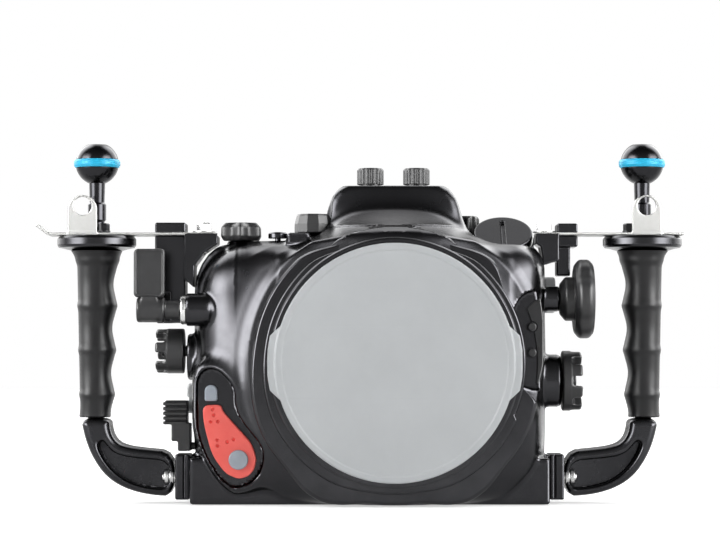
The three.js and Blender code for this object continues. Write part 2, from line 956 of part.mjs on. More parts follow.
/** The holes through which each shaft, stem or pin passes into the front half. */
function frontHoles() {
  const across = (at, from, to, radius) => rod(radius + running, from, to, X, [0, at.y, at.z], small_sides);
  const down = (at, radius, from = cavity_ceiling) =>
    rod(radius + running, from - overrun, hump_top + overrun, Z, [at.x, at.y, 0], small_sides);
  const inward = (x, z, radius, from, to) => rod(radius, from, to, Y, [x, 0, z], small_sides);
  const left = -hull.left - foot_left;
  const right = hull.right + foot_right;
  const inside = cavity.front + overrun;
  const thumb_place = [0, thumb.y, thumb_pivot_z];
  const holes = [
    down(star_dial, star_dial.stem),
    down(top_button, top_button.stem),
    down(mode_dial, mode_dial.stem),
    down(rear_dial, rear_dial.stem),
    across(shutter, left, -cavity_left + overrun, shutter.shaft),
    across(side_knob, left, -cavity_left + overrun, side_knob.stem),
    across(left_latch, left, -cavity_left + overrun, left_latch.stem),
    across(right_latch, cavity_right - overrun, right, right_latch.stem),
    across(focus, cavity_right - overrun, right, focus.stem),
    across({ y: zoom_y, z: zoom.z }, cavity_right - overrun, right, zoom.stem),
    rod(thumb.pivot + running, left, -hull.left + thumb.pin_depth, X, thumb_place, small_sides),
    inward(lock.x, lock.z, lock.pin + running, lock.floor - overrun, lock.floor + lock.pin_depth),
    inward(bevel_x, zoom.z, bevel_gear.stem + running, bevel_gear.stem_end - fit, inside),
    rod(plug.stem + running, -plug.depth - plug.stem_depth - fit, overrun, plugDirection, plugPlace),
  ];
  for (const z of release_heights) {
    const stem_end = cavity.front + release.travel + fit;
    holes.push(inward(release_x, z, release.stem + running, release.back - overrun, stem_end));
  }
  for (const side of [-1, 1]) {
    const x = side * bulkhead_cap.x;
    const low = hump_top - bulkhead_cap.stem_depth - fit;
    const place = [x, bulkhead_cap.y, 0];
    holes.push(rod(bulkhead_cap.stem + running, low, hump_top + overrun, Z, place, small_sides * 2));
    const face = handle_middle + side * (handle_half - side_block.depth);
    const deep = face - side * handle_bolt.engaged;
    const out = face + side * side_block.depth;
    const ends = [Math.min(deep, out), Math.max(deep, out)];
    holes.push(boltHole(ends));
  }
  return holes;
}

/** The flat facet that the lens-release plate lies on, outside the port collar. */
function releaseSeat() {
  const seat = block(
    [release_left - overrun, hull.right + overrun],
    [port.front - overrun, release.back],
    [release.low - fit, release_high + fit],
  );
  return seat.subtract(rod(port.collar + fit, port.front - overrun, 0, Y, [0, 0, port.z], wide_sides));
}

/** The front half: the form with its bosses, less the camera space, the port, the recess and the holes. */
function frontShell() {
  let form = frontForm();
  for (const boss of frontBosses()) form = form.add(boss);
  const relief = (at) => rod(at.radius + at.relief, above(at) - fit, hump_top, Z, [at.x, at.y, 0]);
  const cuts = [
    cameraSpace(cavity.front, hull.joint_y + overrun),
    rod(port.bore, port.front - overrun, cavity.front + overrun, Y, [0, 0, port.z], wide_sides),
    prism(softened(lockPoints(recess_shares)), port.front, lock.floor),
    releaseSeat(),
    rod(plug.radius + 2 * fit, -plug.depth - fit, plug.relief, plugDirection, plugPlace),
    ...[rear_dial, mode_dial].map(relief),
    ...frontHoles(),
  ];
  for (const cut of cuts) form = form.subtract(cut);
  return form;
}

// Rear half

const rear_front = hull.joint_y + fit;
const rear_back = rear_front + rear.depth;
const rear_inside = rear_back - rear.wall;

/** The window opening's outline, grown all round. */
function windowOutline(grow) {
  const { x, z, half_width, half_height, round } = rear_window;
  return rounded(
    x - half_width - grow,
    x + half_width + grow,
    z - half_height - grow,
    z + half_height + grow,
    round + grow,
  );
}

/** The rear half: rounded at the back, with the seal's groove, the window and the holes. */
function rearShell() {
  const rings = [hullRing((reach) => reach, () => rear_front)];
  for (let i = 0; i <= rear.edge_steps; i++) {
    const turn = ((i / rear.edge_steps) * Math.PI) / 2;
    const inset = rear.edge_inset * (1 - Math.cos(turn));
    const y = rear_back - rear.edge * (1 - Math.sin(turn));
    rings.push(hullRing((reach) => reach - inset, () => y));
  }
  const centres = [rear_front, rear_back].map((y) => new THREE.Vector3(0, y, port.z));
  let form = loft(rings.reverse(), centres.reverse());
  const open = rear_back + overrun;
  const groove_floor = rear_front + seal.depth + fit;
  const groove = prism(hullShape(seal.inset - fit), rear_front - overrun, groove_floor);
  const island_shape = hullShape(seal.inset + seal.width + fit);
  const island = prism(island_shape, rear_front - overrun * 2, groove_floor + overrun);
  const pane_seat = rear_back - rear_window.pane - fit;
  const hole = (x, z, radius) => rod(radius, rear_inside - overrun, open, Y, [x, 0, z], small_sides);
  const cuts = [
    groove.subtract(island),
    cameraSpace(rear_front - overrun, rear_inside),
    prism(windowOutline(0), rear_inside - overrun, open),
    prism(windowOutline(rear_window.ledge + fit), pane_seat, open),
    rod(eyepiece.bore + eyepiece.opening, rear_inside - overrun, open, Y, [0, 0, eyepiece.z]),
    hole(rear_wheel.x, rear_wheel.z, rear_wheel.stem + running),
    ...Object.values(rear_button_places).map(({ x, z }) => hole(x, z, rear_button.stem + running)),
  ];
  for (const cut of cuts) form = form.subtract(cut);
  return form;
}

/** The rubber ring in the joint between the halves. */
function caseSeal() {
  const outer = prism(hullShape(seal.inset), rear_front, rear_front + seal.depth);
  const inner_shape = hullShape(seal.inset + seal.width);
  const inner = prism(inner_shape, rear_front - overrun, rear_front + seal.depth + overrun);
  return outer.subtract(inner);
}

/** The frame that clamps the window's pane. */
function windowFrame() {
  const low = rear_back + fit;
  const high = low + rear_window.frame_depth;
  const bevel = rear_window.frame_depth / 3;
  const outer = prism(windowOutline(rear_window.frame_rim), low, high, bevel);
  const inner = prism(windowOutline(-rear_window.frame_lap / 3), low - overrun, high + overrun);
  return outer.subtract(inner);
}

/** The viewfinder's barrel, bored and stepped for its lens. */
function eyepieceBody() {
  const low = rear_back + fit;
  const high = low + eyepiece.depth;
  const seat = high - eyepiece.lens_back;
  const flange = eyepiece_radius + eyepiece.flange;
  const outside = [
    [0, low],
    [flange, low],
    [flange, low + eyepiece.flange_depth],
    [eyepiece_radius, low + eyepiece.flange_depth + fit],
    [eyepiece_radius, high - eyepiece.lens_back],
    [eyepiece_radius + eyepiece.mouth, high],
    [0, high],
  ];
  const place = [0, 0, eyepiece.z];
  const bore = rod(eyepiece.bore, low - overrun, high + overrun, Y, place);
  const pocket = rod(eyepiece_lens_radius + fit, seat - eyepiece.lens_depth - fit, high + overrun, Y, place);
  return turned(outside, Y, place).subtract(bore).subtract(pocket);
}

/** A push button on the back with its stem. */
function rearButton({ x, z }) {
  const low = rear_back + rear_button.lift;
  const head = turned(
    [
      [0, low],
      [rear_button.radius, low],
      [rear_button.radius, low + rear_button.cap_depth - rear_button.edge],
      [rear_button.radius - rear_button.edge, low + rear_button.cap_depth],
      [0, low + rear_button.cap_depth],
    ],
    Y,
    [x, 0, z],
    small_sides * 2,
  );
  return head.add(rod(rear_button.stem, rear_inside - reach, low + fit, Y, [x, 0, z], small_sides));
}

/** The thumb wheel on the back with its stem. */
function rearWheel() {
  const { x, z, radius, depth, lobe, lobes, hub, stem } = rear_wheel;
  const low = rear_back + fit;
  const place = [x, 0, z];
  const head = knob(lobed(radius, lobe, lobes, 1, 3), low, low + depth, Y, place, lobe);
  const dish = rod(hub, low + depth / 2, low + depth + overrun, Y, place);
  return head.subtract(dish).add(rod(stem, rear_inside - reach, low + fit, Y, place, small_sides));
}

// Port

/** The bayonet ring in front of the port, with gaps between its lugs. */
function portRing() {
  const high = port.front - fit;
  const low = high - port_ring.depth;
  const place = [0, 0, port.z];
  const sides = wide_sides;
  const body = rod(ring_outer, low, high, Y, place, sides).subtract(
    rod(ring_inner, low - overrun, high + overrun, Y, place, sides),
  );
  let lugs = rod(ring_inner + fit, high - port_ring.lug_depth, high, Y, place, sides).subtract(
    rod(lug_inner, low - overrun, high + overrun, Y, place, sides),
  );
  for (let i = 0; i < port_ring.lugs; i++) {
    const gap = new THREE.BoxGeometry(port.collar * 2, port.collar * 2, port_ring.lug_gap);
    gap.translate(port.collar, 0, 0);
    gap.rotateY((i / port_ring.lugs) * 2 * Math.PI);
    lugs = lugs.subtract(solid(gap.translate(...place)));
  }
  return body.add(lugs);
}

/** The rubber ring inside the port's opening. */
function portSeal() {
  const low = port.front + port_seal.back;
  const place = [0, 0, port.z];
  const outer = rod(port.bore - fit, low, low + port_seal.depth, Y, place, wide_sides);
  const inner = port.bore - fit - port_seal.width;
  return outer.subtract(rod(inner, low - overrun, low + overrun * 2, Y, place, wide_sides));
}

const cap_back = port.front - fit - port_ring.depth - fit;
const cap_front = cap_back - cap.depth;

/** The port's cover: a disc with a raised rim, two tabs and a hollow spigot. */
function portCap() {
  const place = [0, 0, port.z];
  const sides = wide_sides;
  const face = [
    [0, cap_front],
    [cap_radius - cap.rim_width, cap_front],
    [cap_radius - cap.rim_width, cap_front - cap.rim_depth],
    [cap_radius - cap.edge, cap_front - cap.rim_depth],
    [cap_radius, cap_front + cap.edge],
    [cap_radius, cap_back],
    [0, cap_back],
  ];
  const disc_body = turned(face, Y, place, sides);
  const tab_reach = cap_radius + cap.tab;
  const tabs = prism(
    corners([
      [-tab_reach, port.z - cap.tab_half],
      [0, port.z - cap.tab_half - cap.tab_slope],
      [tab_reach, port.z - cap.tab_half],
      [tab_reach, port.z + cap.tab_half],
      [0, port.z + cap.tab_half + cap.tab_slope],
      [-tab_reach, port.z + cap.tab_half],
    ]),
    cap_front + cap.edge,
    cap_back,
  );
  const spigot = rod(spigot_radius, cap_back - fit, cap_back + cap.spigot_depth, Y, place, sides).subtract(
    rod(spigot_radius - cap.spigot_wall, cap_back, cap_back + cap.spigot_depth + overrun, Y, place, sides),
  );
  return disc_body.add(tabs).add(spigot);
}

// Port lock

/** Points of the lock, from shares of the lever's reach. */
function lockPoints(shares) {
  return shares.map(([across, up]) => [lock.x + across * lock.reach, lock.z + up * lock.reach]);
}

/** The lever that turns the port's lock, with its small holes. */
function lockLever() {
  const high = lock.floor - lock.lift;
  const low = high - lock.thickness;
  const place = [lock.x, 0, lock.z];
  let form = prism(softened(lockPoints(lever_shares)), low, high, lock.edge);
  form = form.subtract(rod(lock.pin + running, low - overrun, high + overrun, Y, place, small_sides));
  for (const [x, z] of lockPoints(lever_hole_shares)) {
    const hole = rod(lock.hole, low - overrun, low + lock.hole_depth, Y, [x, 0, z], small_sides / 2);
    form = form.subtract(hole);
  }
  return form;
}

/** The pin that the lever turns on, with its round head. */
function lockPivot() {
  const front = lock.floor - lock.lift - lock.thickness - fit;
  const place = [lock.x, 0, lock.z];
  const head = rod(lock.head, front - lock.head_depth, front, Y, place, small_sides * 2);
  return head.add(rod(lock.pin, front - fit, lock.floor + lock.pin_depth - fit, Y, place, small_sides));
}

/** The sliding catch above the lever. */
function lockCatch() {
  const high = lock.floor - fit;
  const left = lock.x - catch_tongue.inset - catch_tongue.half;
  const right = lock.x - catch_tongue.inset + catch_tongue.half;
  return prism(
    rounded(left, right, lock.z + catch_low, lock.z + catch_low + catch_tongue.height, catch_tongue.half / 2),
    high - catch_tongue.depth,
    high,
    catch_tongue.edge,
  );
}

// Controls of the front half

/** A head on top of the case with the stem that reaches the camera. */
function topControl(head, at) {
  const stem = rod(at.stem, cavity_ceiling - reach, above(at) + fit, Z, [at.x, at.y, 0], small_sides);
  return head.add(stem);
}

/** A fluted cap over a bulkhead on the hump. */
function bulkheadCap(side) {
  const { x, y, radius, height, flutes, flute, base, stem, stem_depth } = bulkhead_cap;
  const place = [side * x, y, 0];
  const low = hump_top + fit;
  const body = knob(lobed(radius, flute, flutes, 1, 2), low, low + height, Z, place, flute);
  const ring = rod(radius + flute / 2, low, low + base, Z, place);
  return body.add(ring).add(rod(stem, low - stem_depth, low + fit, Z, place, small_sides * 2));
}

/** The slotted plug on the slanted boss. */
function accessoryPlug() {
  const head = turned(
    [
      [0, -plug.depth],
      [plug.radius, -plug.depth],
      [plug.radius, -plug.edge],
      [plug.radius - plug.edge, 0],
      [0, 0],
    ],
    plugDirection,
    plugPlace,
  );
  const slot = new THREE.BoxGeometry(plug.slot, plug.slot_depth * 2, plug.radius * 3);
  const stem = rod(plug.stem, -plug.depth - plug.stem_depth, fit - plug.depth, plugDirection, plugPlace);
  return head.add(stem).subtract(solid(aim(slot, plugDirection, plugPlace)));
}

/** The two dials, the knob and the button on the roof. */
function topControls() {
  const star = knob(
    lobed(star_dial.radius, star_dial.lobe, star_dial.lobes),
    above(star_dial),
    above(star_dial) + star_dial.height,
    Z,
    [star_dial.x, star_dial.y, 0],
    star_dial.lobe / 2,
  );
  const push = turned(
    [
      [0, above(top_button)],
      [top_button.radius, above(top_button)],
      [top_button.radius, above(top_button) + top_button.height - top_button.edge],
      [top_button.radius - top_button.edge, above(top_button) + top_button.height],
      [0, above(top_button) + top_button.height],
    ],
    Z,
    [top_button.x, top_button.y, 0],
    small_sides * 2,
  );
  const mode = turned(
    [
      [0, above(mode_dial)],
      [mode_dial.radius, above(mode_dial)],
      [mode_dial.radius, above(mode_dial) + mode_dial.height / 2],
      [mode_dial.radius - mode_dial.taper, above(mode_dial) + mode_dial.height],
      [0, above(mode_dial) + mode_dial.height],
    ],
    Z,
    [mode_dial.x, mode_dial.y, 0],
    mode_dial.facets,
  );
  const behind = knob(
    lobed(rear_dial.radius, rear_dial.lobe, rear_dial.lobes, 1, 4),
    above(rear_dial),
    above(rear_dial) + rear_dial.height,
    Z,
    [rear_dial.x, rear_dial.y, 0],
    rear_dial.lobe,
  );
  return {
    top_star_dial: topControl(star, star_dial),
    top_button: topControl(push, top_button),
    mode_dial: topControl(mode, mode_dial),
    rear_dial: topControl(behind, rear_dial),
  };
}

/** The trigger: a pad on an arm, a hub and the shaft through the wall. */
function shutterLever() {
  const place = [0, shutter.y, shutter.z];
  const hub = rod(shutter.hub, shutter_hub_outer, shutter_hub_inner, X, place);
  const pad_outer = shutter_hub_outer - shutter.pad_overhang;
  const pad_high = shutter_pad_low + shutter.pad_height;
  const pad_back = shutter.y - shutter.pad_setback;
  const pad_front = pad_back - shutter.pad_depth;
  const pad_shape = rounded(pad_outer, shutter_hub_inner, shutter_pad_low, pad_high, shutter.pad_depth);
  const pad = prism(pad_shape, pad_front, pad_back, shutter.pad_edge);
  const middle = (pad_outer + shutter_hub_inner) / 2;
  const arm = block(
    [middle - shutter.arm_half, middle + shutter.arm_half],
    [pad_front + shutter.pad_edge / 2, pad_back - shutter.pad_edge / 2],
    [shutter.z, shutter_pad_low + shutter.pad_depth],
  );
  const shaft = rod(shutter.shaft, shutter_hub_inner - fit, -cavity_left, X, place, small_sides);
  return hub.add(arm).add(pad).add(shaft);
}

/** The bush that carries the trigger's shaft. */
function shutterBushing() {
  const place = [0, shutter.y, shutter.z];
  const ring = rod(shutter.bushing, shutter_bush_outer, shutter_bush_inner, X, place);
  const far = shutter_bush_outer - overrun;
  return ring.subtract(rod(shutter.shaft + running, far, -cavity_left, X, place, small_sides));
}

/** The lobed knob on the left side. */
function sideKnob() {
  const place = [0, side_knob.y, side_knob.z];
  const head = knob(
    lobed(side_knob.radius, side_knob.lobe, side_knob.lobes),
    side_knob_outer,
    side_knob_inner,
    X,
    place,
    side_knob.lobe / 2,
  );
  const { screw, screw_depth, stem } = side_knob;
  const pit = rod(screw, side_knob_outer - overrun, side_knob_outer + screw_depth, X, place, small_sides);
  return head.subtract(pit).add(rod(stem, side_knob_inner - fit, -cavity_left, X, place, small_sides));
}

/** A rotary latch: a bevelled disc with a coin slot, on a stem through the wall. */
function latch(at, side) {
  const wall = side < 0 ? hull.left : hull.right;
  const face = side * (wall + at.standoff + fit);
  const end = face + side * at.depth;
  const place = [0, at.y, at.z];
  const profile = [
    [0, face],
    [at.radius, face],
    [at.radius, end - side * at.edge],
    [at.radius - at.edge, end],
    [0, end],
  ];
  const head = turned(side < 0 ? profile.reverse() : profile, X, place, small_sides * 2);
  const inside = side < 0 ? [face - fit, -cavity_left] : [cavity_right, face + fit];
  const slot_z = [at.z - at.radius * 2, at.z + at.radius * 2];
  const slot_x = side < 0 ? [end - overrun, end + at.slot_depth] : [end - at.slot_depth, end + overrun];
  const slot = block(slot_x, [at.y - at.slot / 2, at.y + at.slot / 2], slot_z);
  return head.subtract(slot).add(rod(at.stem, ...inside, X, place, small_sides));
}

/** The ribbed lever low on the left side, with its pivot pin. */
function thumbLever() {
  const front = thumb.y - thumb.half;
  const back = thumb.y + thumb.half;
  const arm_outer = thumb_arm_inner + thumb.arm_depth;
  const post_outer = thumb_arm_inner + thumb.post_depth;
  const step = thumb.height / thumb.ribs;
  const edge = [
    [-thumb_arm_inner, thumb.post_low],
    [-thumb_arm_inner, thumb_low],
    [-thumb_inner, thumb_low + fit],
    [-thumb_inner, thumb_high],
  ];
  for (let i = 0; i < thumb.ribs; i++) {
    const top = thumb_high - i * step;
    const under = top - step * thumb.rib_share;
    edge.push([-thumb_outer, top], [-thumb_outer, under]);
    edge.push([thumb.rib - thumb_outer, under], [thumb.rib - thumb_outer, top - step * thumb.valley_share]);
  }
  edge.push([-arm_outer, thumb_low], [-arm_outer, thumb_arm_low]);
  edge.push([-post_outer, thumb_arm_low], [-post_outer, thumb.post_low]);
  const body = prism(corners(edge.reverse()), front, back);
  const pin = rod(
    thumb.pivot,
    -thumb_arm_inner - fit,
    -hull.left + thumb.pin_depth - fit,
    X,
    [0, thumb.y, thumb_pivot_z],
    small_sides,
  );
  return body.add(pin);
}

/** The large scalloped knob on the right side. */
function focusKnob() {
  const place = [0, focus.y, focus.z];
  const wheel = knob(
    lobed(focus.radius, focus.scallop, focus.scallops, 2, 3),
    focus_inner,
    focus_outer,
    X,
    place,
    focus.scallop / 2,
  );
  const dish = rod(focus.dish, focus_outer - focus.dish_depth, focus_outer + overrun, X, place);
  const hub = rod(focus.hub, focus_hub_inner, focus_inner + fit, X, place);
  const stem = rod(focus.stem, cavity_right, focus_hub_inner + fit, X, place, small_sides);
  return wheel.subtract(dish).add(hub).add(stem);
}

/** The lobed knob on the right side, with the shaft that carries its gear. */
function zoomKnob() {
  const place = [0, zoom_y, zoom.z];
  const outline = lobed(zoom.radius, zoom.lobe, zoom.lobes);
  const head = knob(outline, zoom_inner, zoom_outer, X, place, zoom.lobe / 2);
  const pit = rod(zoom.screw, zoom_outer - zoom.screw_depth, zoom_outer + overrun, X, place, small_sides);
  const end = bevel_x + bevel_gear.pitch * bevel_gear.inner_share;
  return head.subtract(pit).add(rod(zoom.stem, end, zoom_inner + fit, X, place, small_sides));
}

/** A bevel gear whose pitch cone has its tip at the shafts' crossing and half a right angle to each. */
function bevelTeeth(direction, phase) {
  const { pitch, teeth, tip, root, inner_share } = bevel_gear;
  const tooth_shares = [-0.26, -0.1, 0.1, 0.26];
  const ring = (scale) =>
    Array.from({ length: teeth * tooth_shares.length }, (_, i) => {
      const at = i % tooth_shares.length;
      const tall = at === 1 || at === 2;
      const turn = ((Math.floor(i / tooth_shares.length) + tooth_shares[at] + phase) / teeth) * 2 * Math.PI;
      const radius = (tall ? pitch + tip : pitch - root) * scale;
      return new THREE.Vector3(radius * Math.cos(turn), pitch * scale, radius * Math.sin(turn));
    });
  const rings = [ring(1), ring(inner_share)];
  const centres = [1, inner_share].map((scale) => new THREE.Vector3(0, pitch * scale, 0));
  const turn = new THREE.Quaternion().setFromUnitVectors(Y, direction);
  const crossing = new THREE.Vector3(bevel_x, zoom_y, zoom.z);
  for (const point of [...rings.flat(), ...centres]) point.applyQuaternion(turn).add(crossing);
  return loft(rings, centres);
}

/** The bevel gear on the lobed knob's shaft. */
function zoomBevelGear() {
  const place = [0, zoom_y, zoom.z];
  const back = bevel_x + bevel_gear.pitch;
  const hub = rod(bevel_gear.hub, back - fit, back + bevel_gear.hub_depth, X, place, small_sides * 2);
  const end = back + bevel_gear.hub_depth + overrun;
  const bore = rod(zoom.stem + running, bevel_x, end, X, place, small_sides);
  return bevelTeeth(X, 0).add(hub).subtract(bore);
}

/** The bevel gear that meets it, with the flat gear that reaches the lens. */
function lensDriveGear() {
  const place = [bevel_x, 0, zoom.z];
  const back = zoom_y - bevel_gear.pitch;
  const spur_back = back - bevel_gear.spur_gap;
  const spur = knob(
    lobed(bevel_gear.spur, bevel_gear.root, bevel_gear.teeth, 1, 2),
    spur_back - bevel_gear.spur_depth,
    spur_back,
    Y,
    place,
    fit,
  );
  const stem = rod(bevel_gear.stem, bevel_gear.stem_end, back, Y, place, small_sides);
  return bevelTeeth(Y.clone().negate(), 0.5).add(spur).add(stem);
}

/** The dark plate on the right facet, cut round the collar and the two buttons. */
function releasePlate() {
  const form = prism(
    rounded(release_left, release_right, release.low, release_high, release.depth),
    release.back - fit - release.depth,
    release.back - fit,
    release.edge,
  );
  const collar = rod(port.collar + 2 * fit, port.front, 0, Y, [0, 0, port.z], wide_sides);
  const holes = release_heights.map((z) =>
    rod(release.radius + running, port.front, 0, Y, [release_x, 0, z], small_sides * 2),
  );
  return holes.reduce((left, hole) => left.subtract(hole), form.subtract(collar));
}

/** A lens-release button with its stem. */
function releaseButton(z) {
  const front = release.back - release.depth - release.proud;
  const place = [release_x, 0, z];
  const head = rod(release.radius, front, release.back - release.travel - fit, Y, place, small_sides * 2);
  return head.add(rod(release.stem, front + fit, cavity.front, Y, place, small_sides));
}

/** The plate that the camera is screwed to, with its front lip. */
function cameraTray() {
  const low = cavity.floor + fit;
  const plate = block([-tray.left, tray.right], [tray.front, tray.back], [low, low + tray.thickness]);
  const lip = block(
    [-tray.left, tray.right],
    [tray.front, tray.front + tray.lip],
    [low, low + tray.thickness + tray.lip_height],
  );
  return plate.add(lip);
}

// Handles, straps and ball mounts

const outward = (side, distance) => handle_middle + side * (handle_half + distance);
const grip_x = (side) => outward(side, handle.reach);

/** An outline from shares of the arm's reach and top, in the order that keeps its inside on its left. */
function handleOutline(shares, side) {
  const placed = shares.map(([out, up]) => [outward(side, out * handle.reach), up * handle.top]);
  return side < 0 ? placed.reverse() : placed;
}

/** A ribbed arm from the foot of the case to the grip, with the grip's core. */
function handleArm(side) {
  const outline = softened(handleOutline(arm_shares, side), handle.round_share);
  const pocket = corners(handleOutline(arm_pocket_shares, side));
  let form = prism(outline, -handle.arm_half, handle.arm_half, handle.edge);
  form = form.subtract(prism(pocket, -handle.arm_half - overrun, -handle.web_half));
  form = form.subtract(prism(pocket, handle.web_half, handle.arm_half + overrun));
  const place = [grip_x(side), 0, 0];
  form = form.add(rod(handle.core, handle.top - handle.core, grip_high, Z, place, small_sides * 2));
  const face = [outward(side, -overrun), outward(side, handle.flange + overrun)].sort((a, b) => a - b);
  return form.subtract(boltHole(face));
}

/** The block between the case and an arm. */
function sideBlock(side) {
  const ends = [outward(side, -side_block.depth + fit), outward(side, -fit)].sort((a, b) => a - b);
  const form = prism(
    rounded(...ends, side_block.low, side_block.high, side_block.edge),
    -handle.arm_half,
    handle.arm_half,
    side_block.edge / 2,
  );
  const through = [ends[0] - overrun, ends[1] + overrun];
  return form.subtract(boltHole(through));
}

/** The bolt through arm and block into the case. */
function handleBolt(side) {
  const seat = handle.flange + fit;
  const face = seat + handle_bolt.washer_depth;
  const steps = [
    [handle_bolt.shank, -side_block.depth - handle_bolt.engaged + fit, seat + fit],
    [handle_bolt.washer, seat, face],
    [handle_bolt.head, face - fit, face + handle_bolt.head_depth],
  ];
  return steps
    .map(([radius, from, to]) => {
      const ends = [outward(side, from), outward(side, to)].sort((a, b) => a - b);
      return rod(radius, ...ends, X, [0, handle_bolt.y, handle_bolt.z], small_sides);
    })
    .reduce((whole, step) => whole.add(step));
}

/** The rubber sleeve with its finger waves. */
function gripSleeve(side) {
  const rings = [];
  for (let i = 0; i <= grip.sections; i++) {
    const share = i / grip.sections;
    const z = THREE.MathUtils.lerp(grip_low, grip_high, share);
    const wave = grip.wave * Math.cos((2 * Math.PI * (z - grip_low - grip.ridge)) / grip.pitch);
    const wide = THREE.MathUtils.lerp(grip.wide_low, grip.wide_high, share) + wave / 2;
    const deep = THREE.MathUtils.lerp(grip.deep_low, grip.deep_high, share) + wave;
    rings.push(
      Array.from({ length: grip.sides }, (_, k) => {
        const turn = (k / grip.sides) * 2 * Math.PI;
        return new THREE.Vector3(grip_x(side) + wide * Math.cos(turn), deep * Math.sin(turn), z);
      }),
    );
  }
  const centres = [grip_low, grip_high].map((z) => new THREE.Vector3(grip_x(side), 0, z));
  const ends = [grip_low - overrun, grip_high + overrun];
  const bore = rod(handle.core + running, ...ends, Z, [grip_x(side), 0, 0], small_sides * 2);
  return loft(rings, centres).subtract(bore);
}

/** The round head on top of a grip. */
function gripDisc(side) {
  const profile = [
    [0, disc_low],
    [disc.neck, disc_low],
    [disc.radius - disc.edge / 2, disc_low + disc.neck_depth],
    [disc.radius, disc_low + disc.neck_depth + disc.edge],
    [disc.radius, disc_high - disc.edge],
    [disc.radius - disc.edge, disc_high],
    [0, disc_high],
  ];
  const place = [grip_x(side), 0, 0];
  const low = disc_high - disc.pocket - fit;
  const hole = rod(ball.stud + running, low, disc_high + overrun, Z, place, small_sides);
  return turned(profile, Z, place).subtract(hole);
}

/** How far out the bracket on one side reaches over the case. */
function postOuter(side) {
  return side < 0 ? hull.left + post_left.ledge : hull.right + post_right.ledge;
}

/** One strap: a flat bar with an upright eye on its front edge, and on the left a raised end. */
function strapBar(side) {
  const low = strap_low;
  const high = strap_high;
  const lap = side < 0 ? strap.overlap : strap.right_overlap;
  const inner = side * (postOuter(side) - lap);
  const outer = grip_x(side) + side * (side < 0 ? strap.hook_start : strap.end);
  const bar = [
    [inner, low],
    [inner, high],
    [outer, high],
    [outer, low],
  ];
  if (side < 0) {
    const tip = outer - strap.hook;
    bar.splice(3, 0, [tip, high + strap.hook_rise], [tip - strap.thickness / 2, low + strap.hook_rise]);
  }
  const outline = corners(bar.reverse());
  let form = prism(outline, -strap.half, strap.half);
  const x = grip_x(side) + side * (side < 0 ? eye.left : eye.right);
  const plate = new THREE.Shape();
  plate.moveTo(x - eye.half, low);
  plate.lineTo(x + eye.half, low);
  plate.lineTo(x + eye.half, low + eye.height - eye.half);
  plate.absarc(x, low + eye.height - eye.half, eye.half, 0, Math.PI);
  form = form.add(prism(plate, -strap.half, strap.thickness - strap.half));
  const plate_ends = [-strap.half - overrun, strap.thickness - strap.half + overrun];
  const cuts = [
    rod(eye.hole, ...plate_ends, Y, [x, 0, high + eye.hole_rise]),
    rod(strap.hole + running, low - overrun, high + overrun, Z, [grip_x(side), 0, 0], small_sides),
    rod(strap_bolt.shank + running, low - overrun, high + overrun, Z, [strapBoltX(side), 0, 0], small_sides),
  ];
  for (const cut of cuts) form = form.subtract(cut);
  return form;
}

/** How far across a strap's bolt stands. */
function strapBoltX(side) {
  const at = side < 0 ? post_left : post_right;
  return side * (postOuter(side) - at.bolt);
}

/** The hex bolt and washer that hold a strap on its bracket. */
function strapBolt(side) {
  const place = [strapBoltX(side), 0, 0];
  const seat = strap_high + fit;
  const top = seat + strap_bolt.washer_depth;
  const washer = rod(strap_bolt.washer, seat, top, Z, place, small_sides * 2);
  const head = rod(strap_bolt.head, top - fit, top + strap_bolt.head_depth, Z, place, hex_sides);
  const shank_end = strap_low - fit - strap_bolt.shank_depth;
  const shank = rod(strap_bolt.shank, shank_end, seat + fit, Z, place, small_sides);
  return washer.add(head).add(shank);
}

/** The dark hex bolt beside an eye. */
function eyeBolt(side) {
  const [out, y] = side < 0 ? [eye_bolt.left, eye_bolt.left_y] : [eye_bolt.right, eye_bolt.right_y];
  const place = [grip_x(side) + side * out, y, 0];
  const seat = strap_high + fit;
  const top = seat + eye_bolt.washer_depth;
  const washer = rod(eye_bolt.washer, seat, top, Z, place, small_sides);
  return washer.add(rod(eye_bolt.head, top - fit, top + eye_bolt.head_depth, Z, place, hex_sides));
}

/** The part of a strap's bracket that stands on the case. */
function strapPost(side) {
  const at = side < 0 ? post_left : post_right;
  const post_outer = postOuter(side);
  const post_inner = post_outer - at.width;
  const low = hull.roof - at.low;
  const shoulder_x = hull.left - hull.shoulder_inset;
  const shoulder_z = hull.roof - hull.shoulder_rise;
  const left_points = [
    [post_outer, strap_high],
    [post_inner, strap_high],
    [post_inner, hull.roof + fit],
    [shoulder_x + 2 * fit, shoulder_z + fit],
    [hull.left - hull.bow_inset - 2 * fit, hull.roof - hull.bow_drop + 2 * fit],
    [hull.left + at.wedge + fit, low],
    [post_outer, hull.roof - at.side_low],
  ];
  const right_points = [
    [post_outer, strap_high],
    [post_inner, strap_high],
    [post_inner, hull.roof + fit],
    [hull.right - 2 * fit, hull.roof],
    [hull.right + 2 * fit, hull.roof - hull.right_round / 3],
    [hull.right + fit, low],
    [post_outer, low + overrun],
  ];
  const points = (side < 0 ? left_points : right_points).map(([out, up]) => [side * out, up]);
  let form = prism(corners(side < 0 ? points : points.reverse()), at.front, at.back);
  const seat = strap_low - fit;
  const ends = [side * post_inner, side * post_outer].sort((a, b) => a - b);
  const across = [ends[0] - overrun, ends[1] + overrun];
  const behind = [-strap.half - fit, at.back + overrun];
  form = form.subtract(block(across, behind, [seat, strap_high + overrun]));
  const hole_ends = [seat - strap_bolt.shank_depth - fit, strap_high + overrun];
  const hole = rod(strap_bolt.shank + running, ...hole_ends, Z, [strapBoltX(side), 0, 0], small_sides);
  return form.subtract(hole);
}

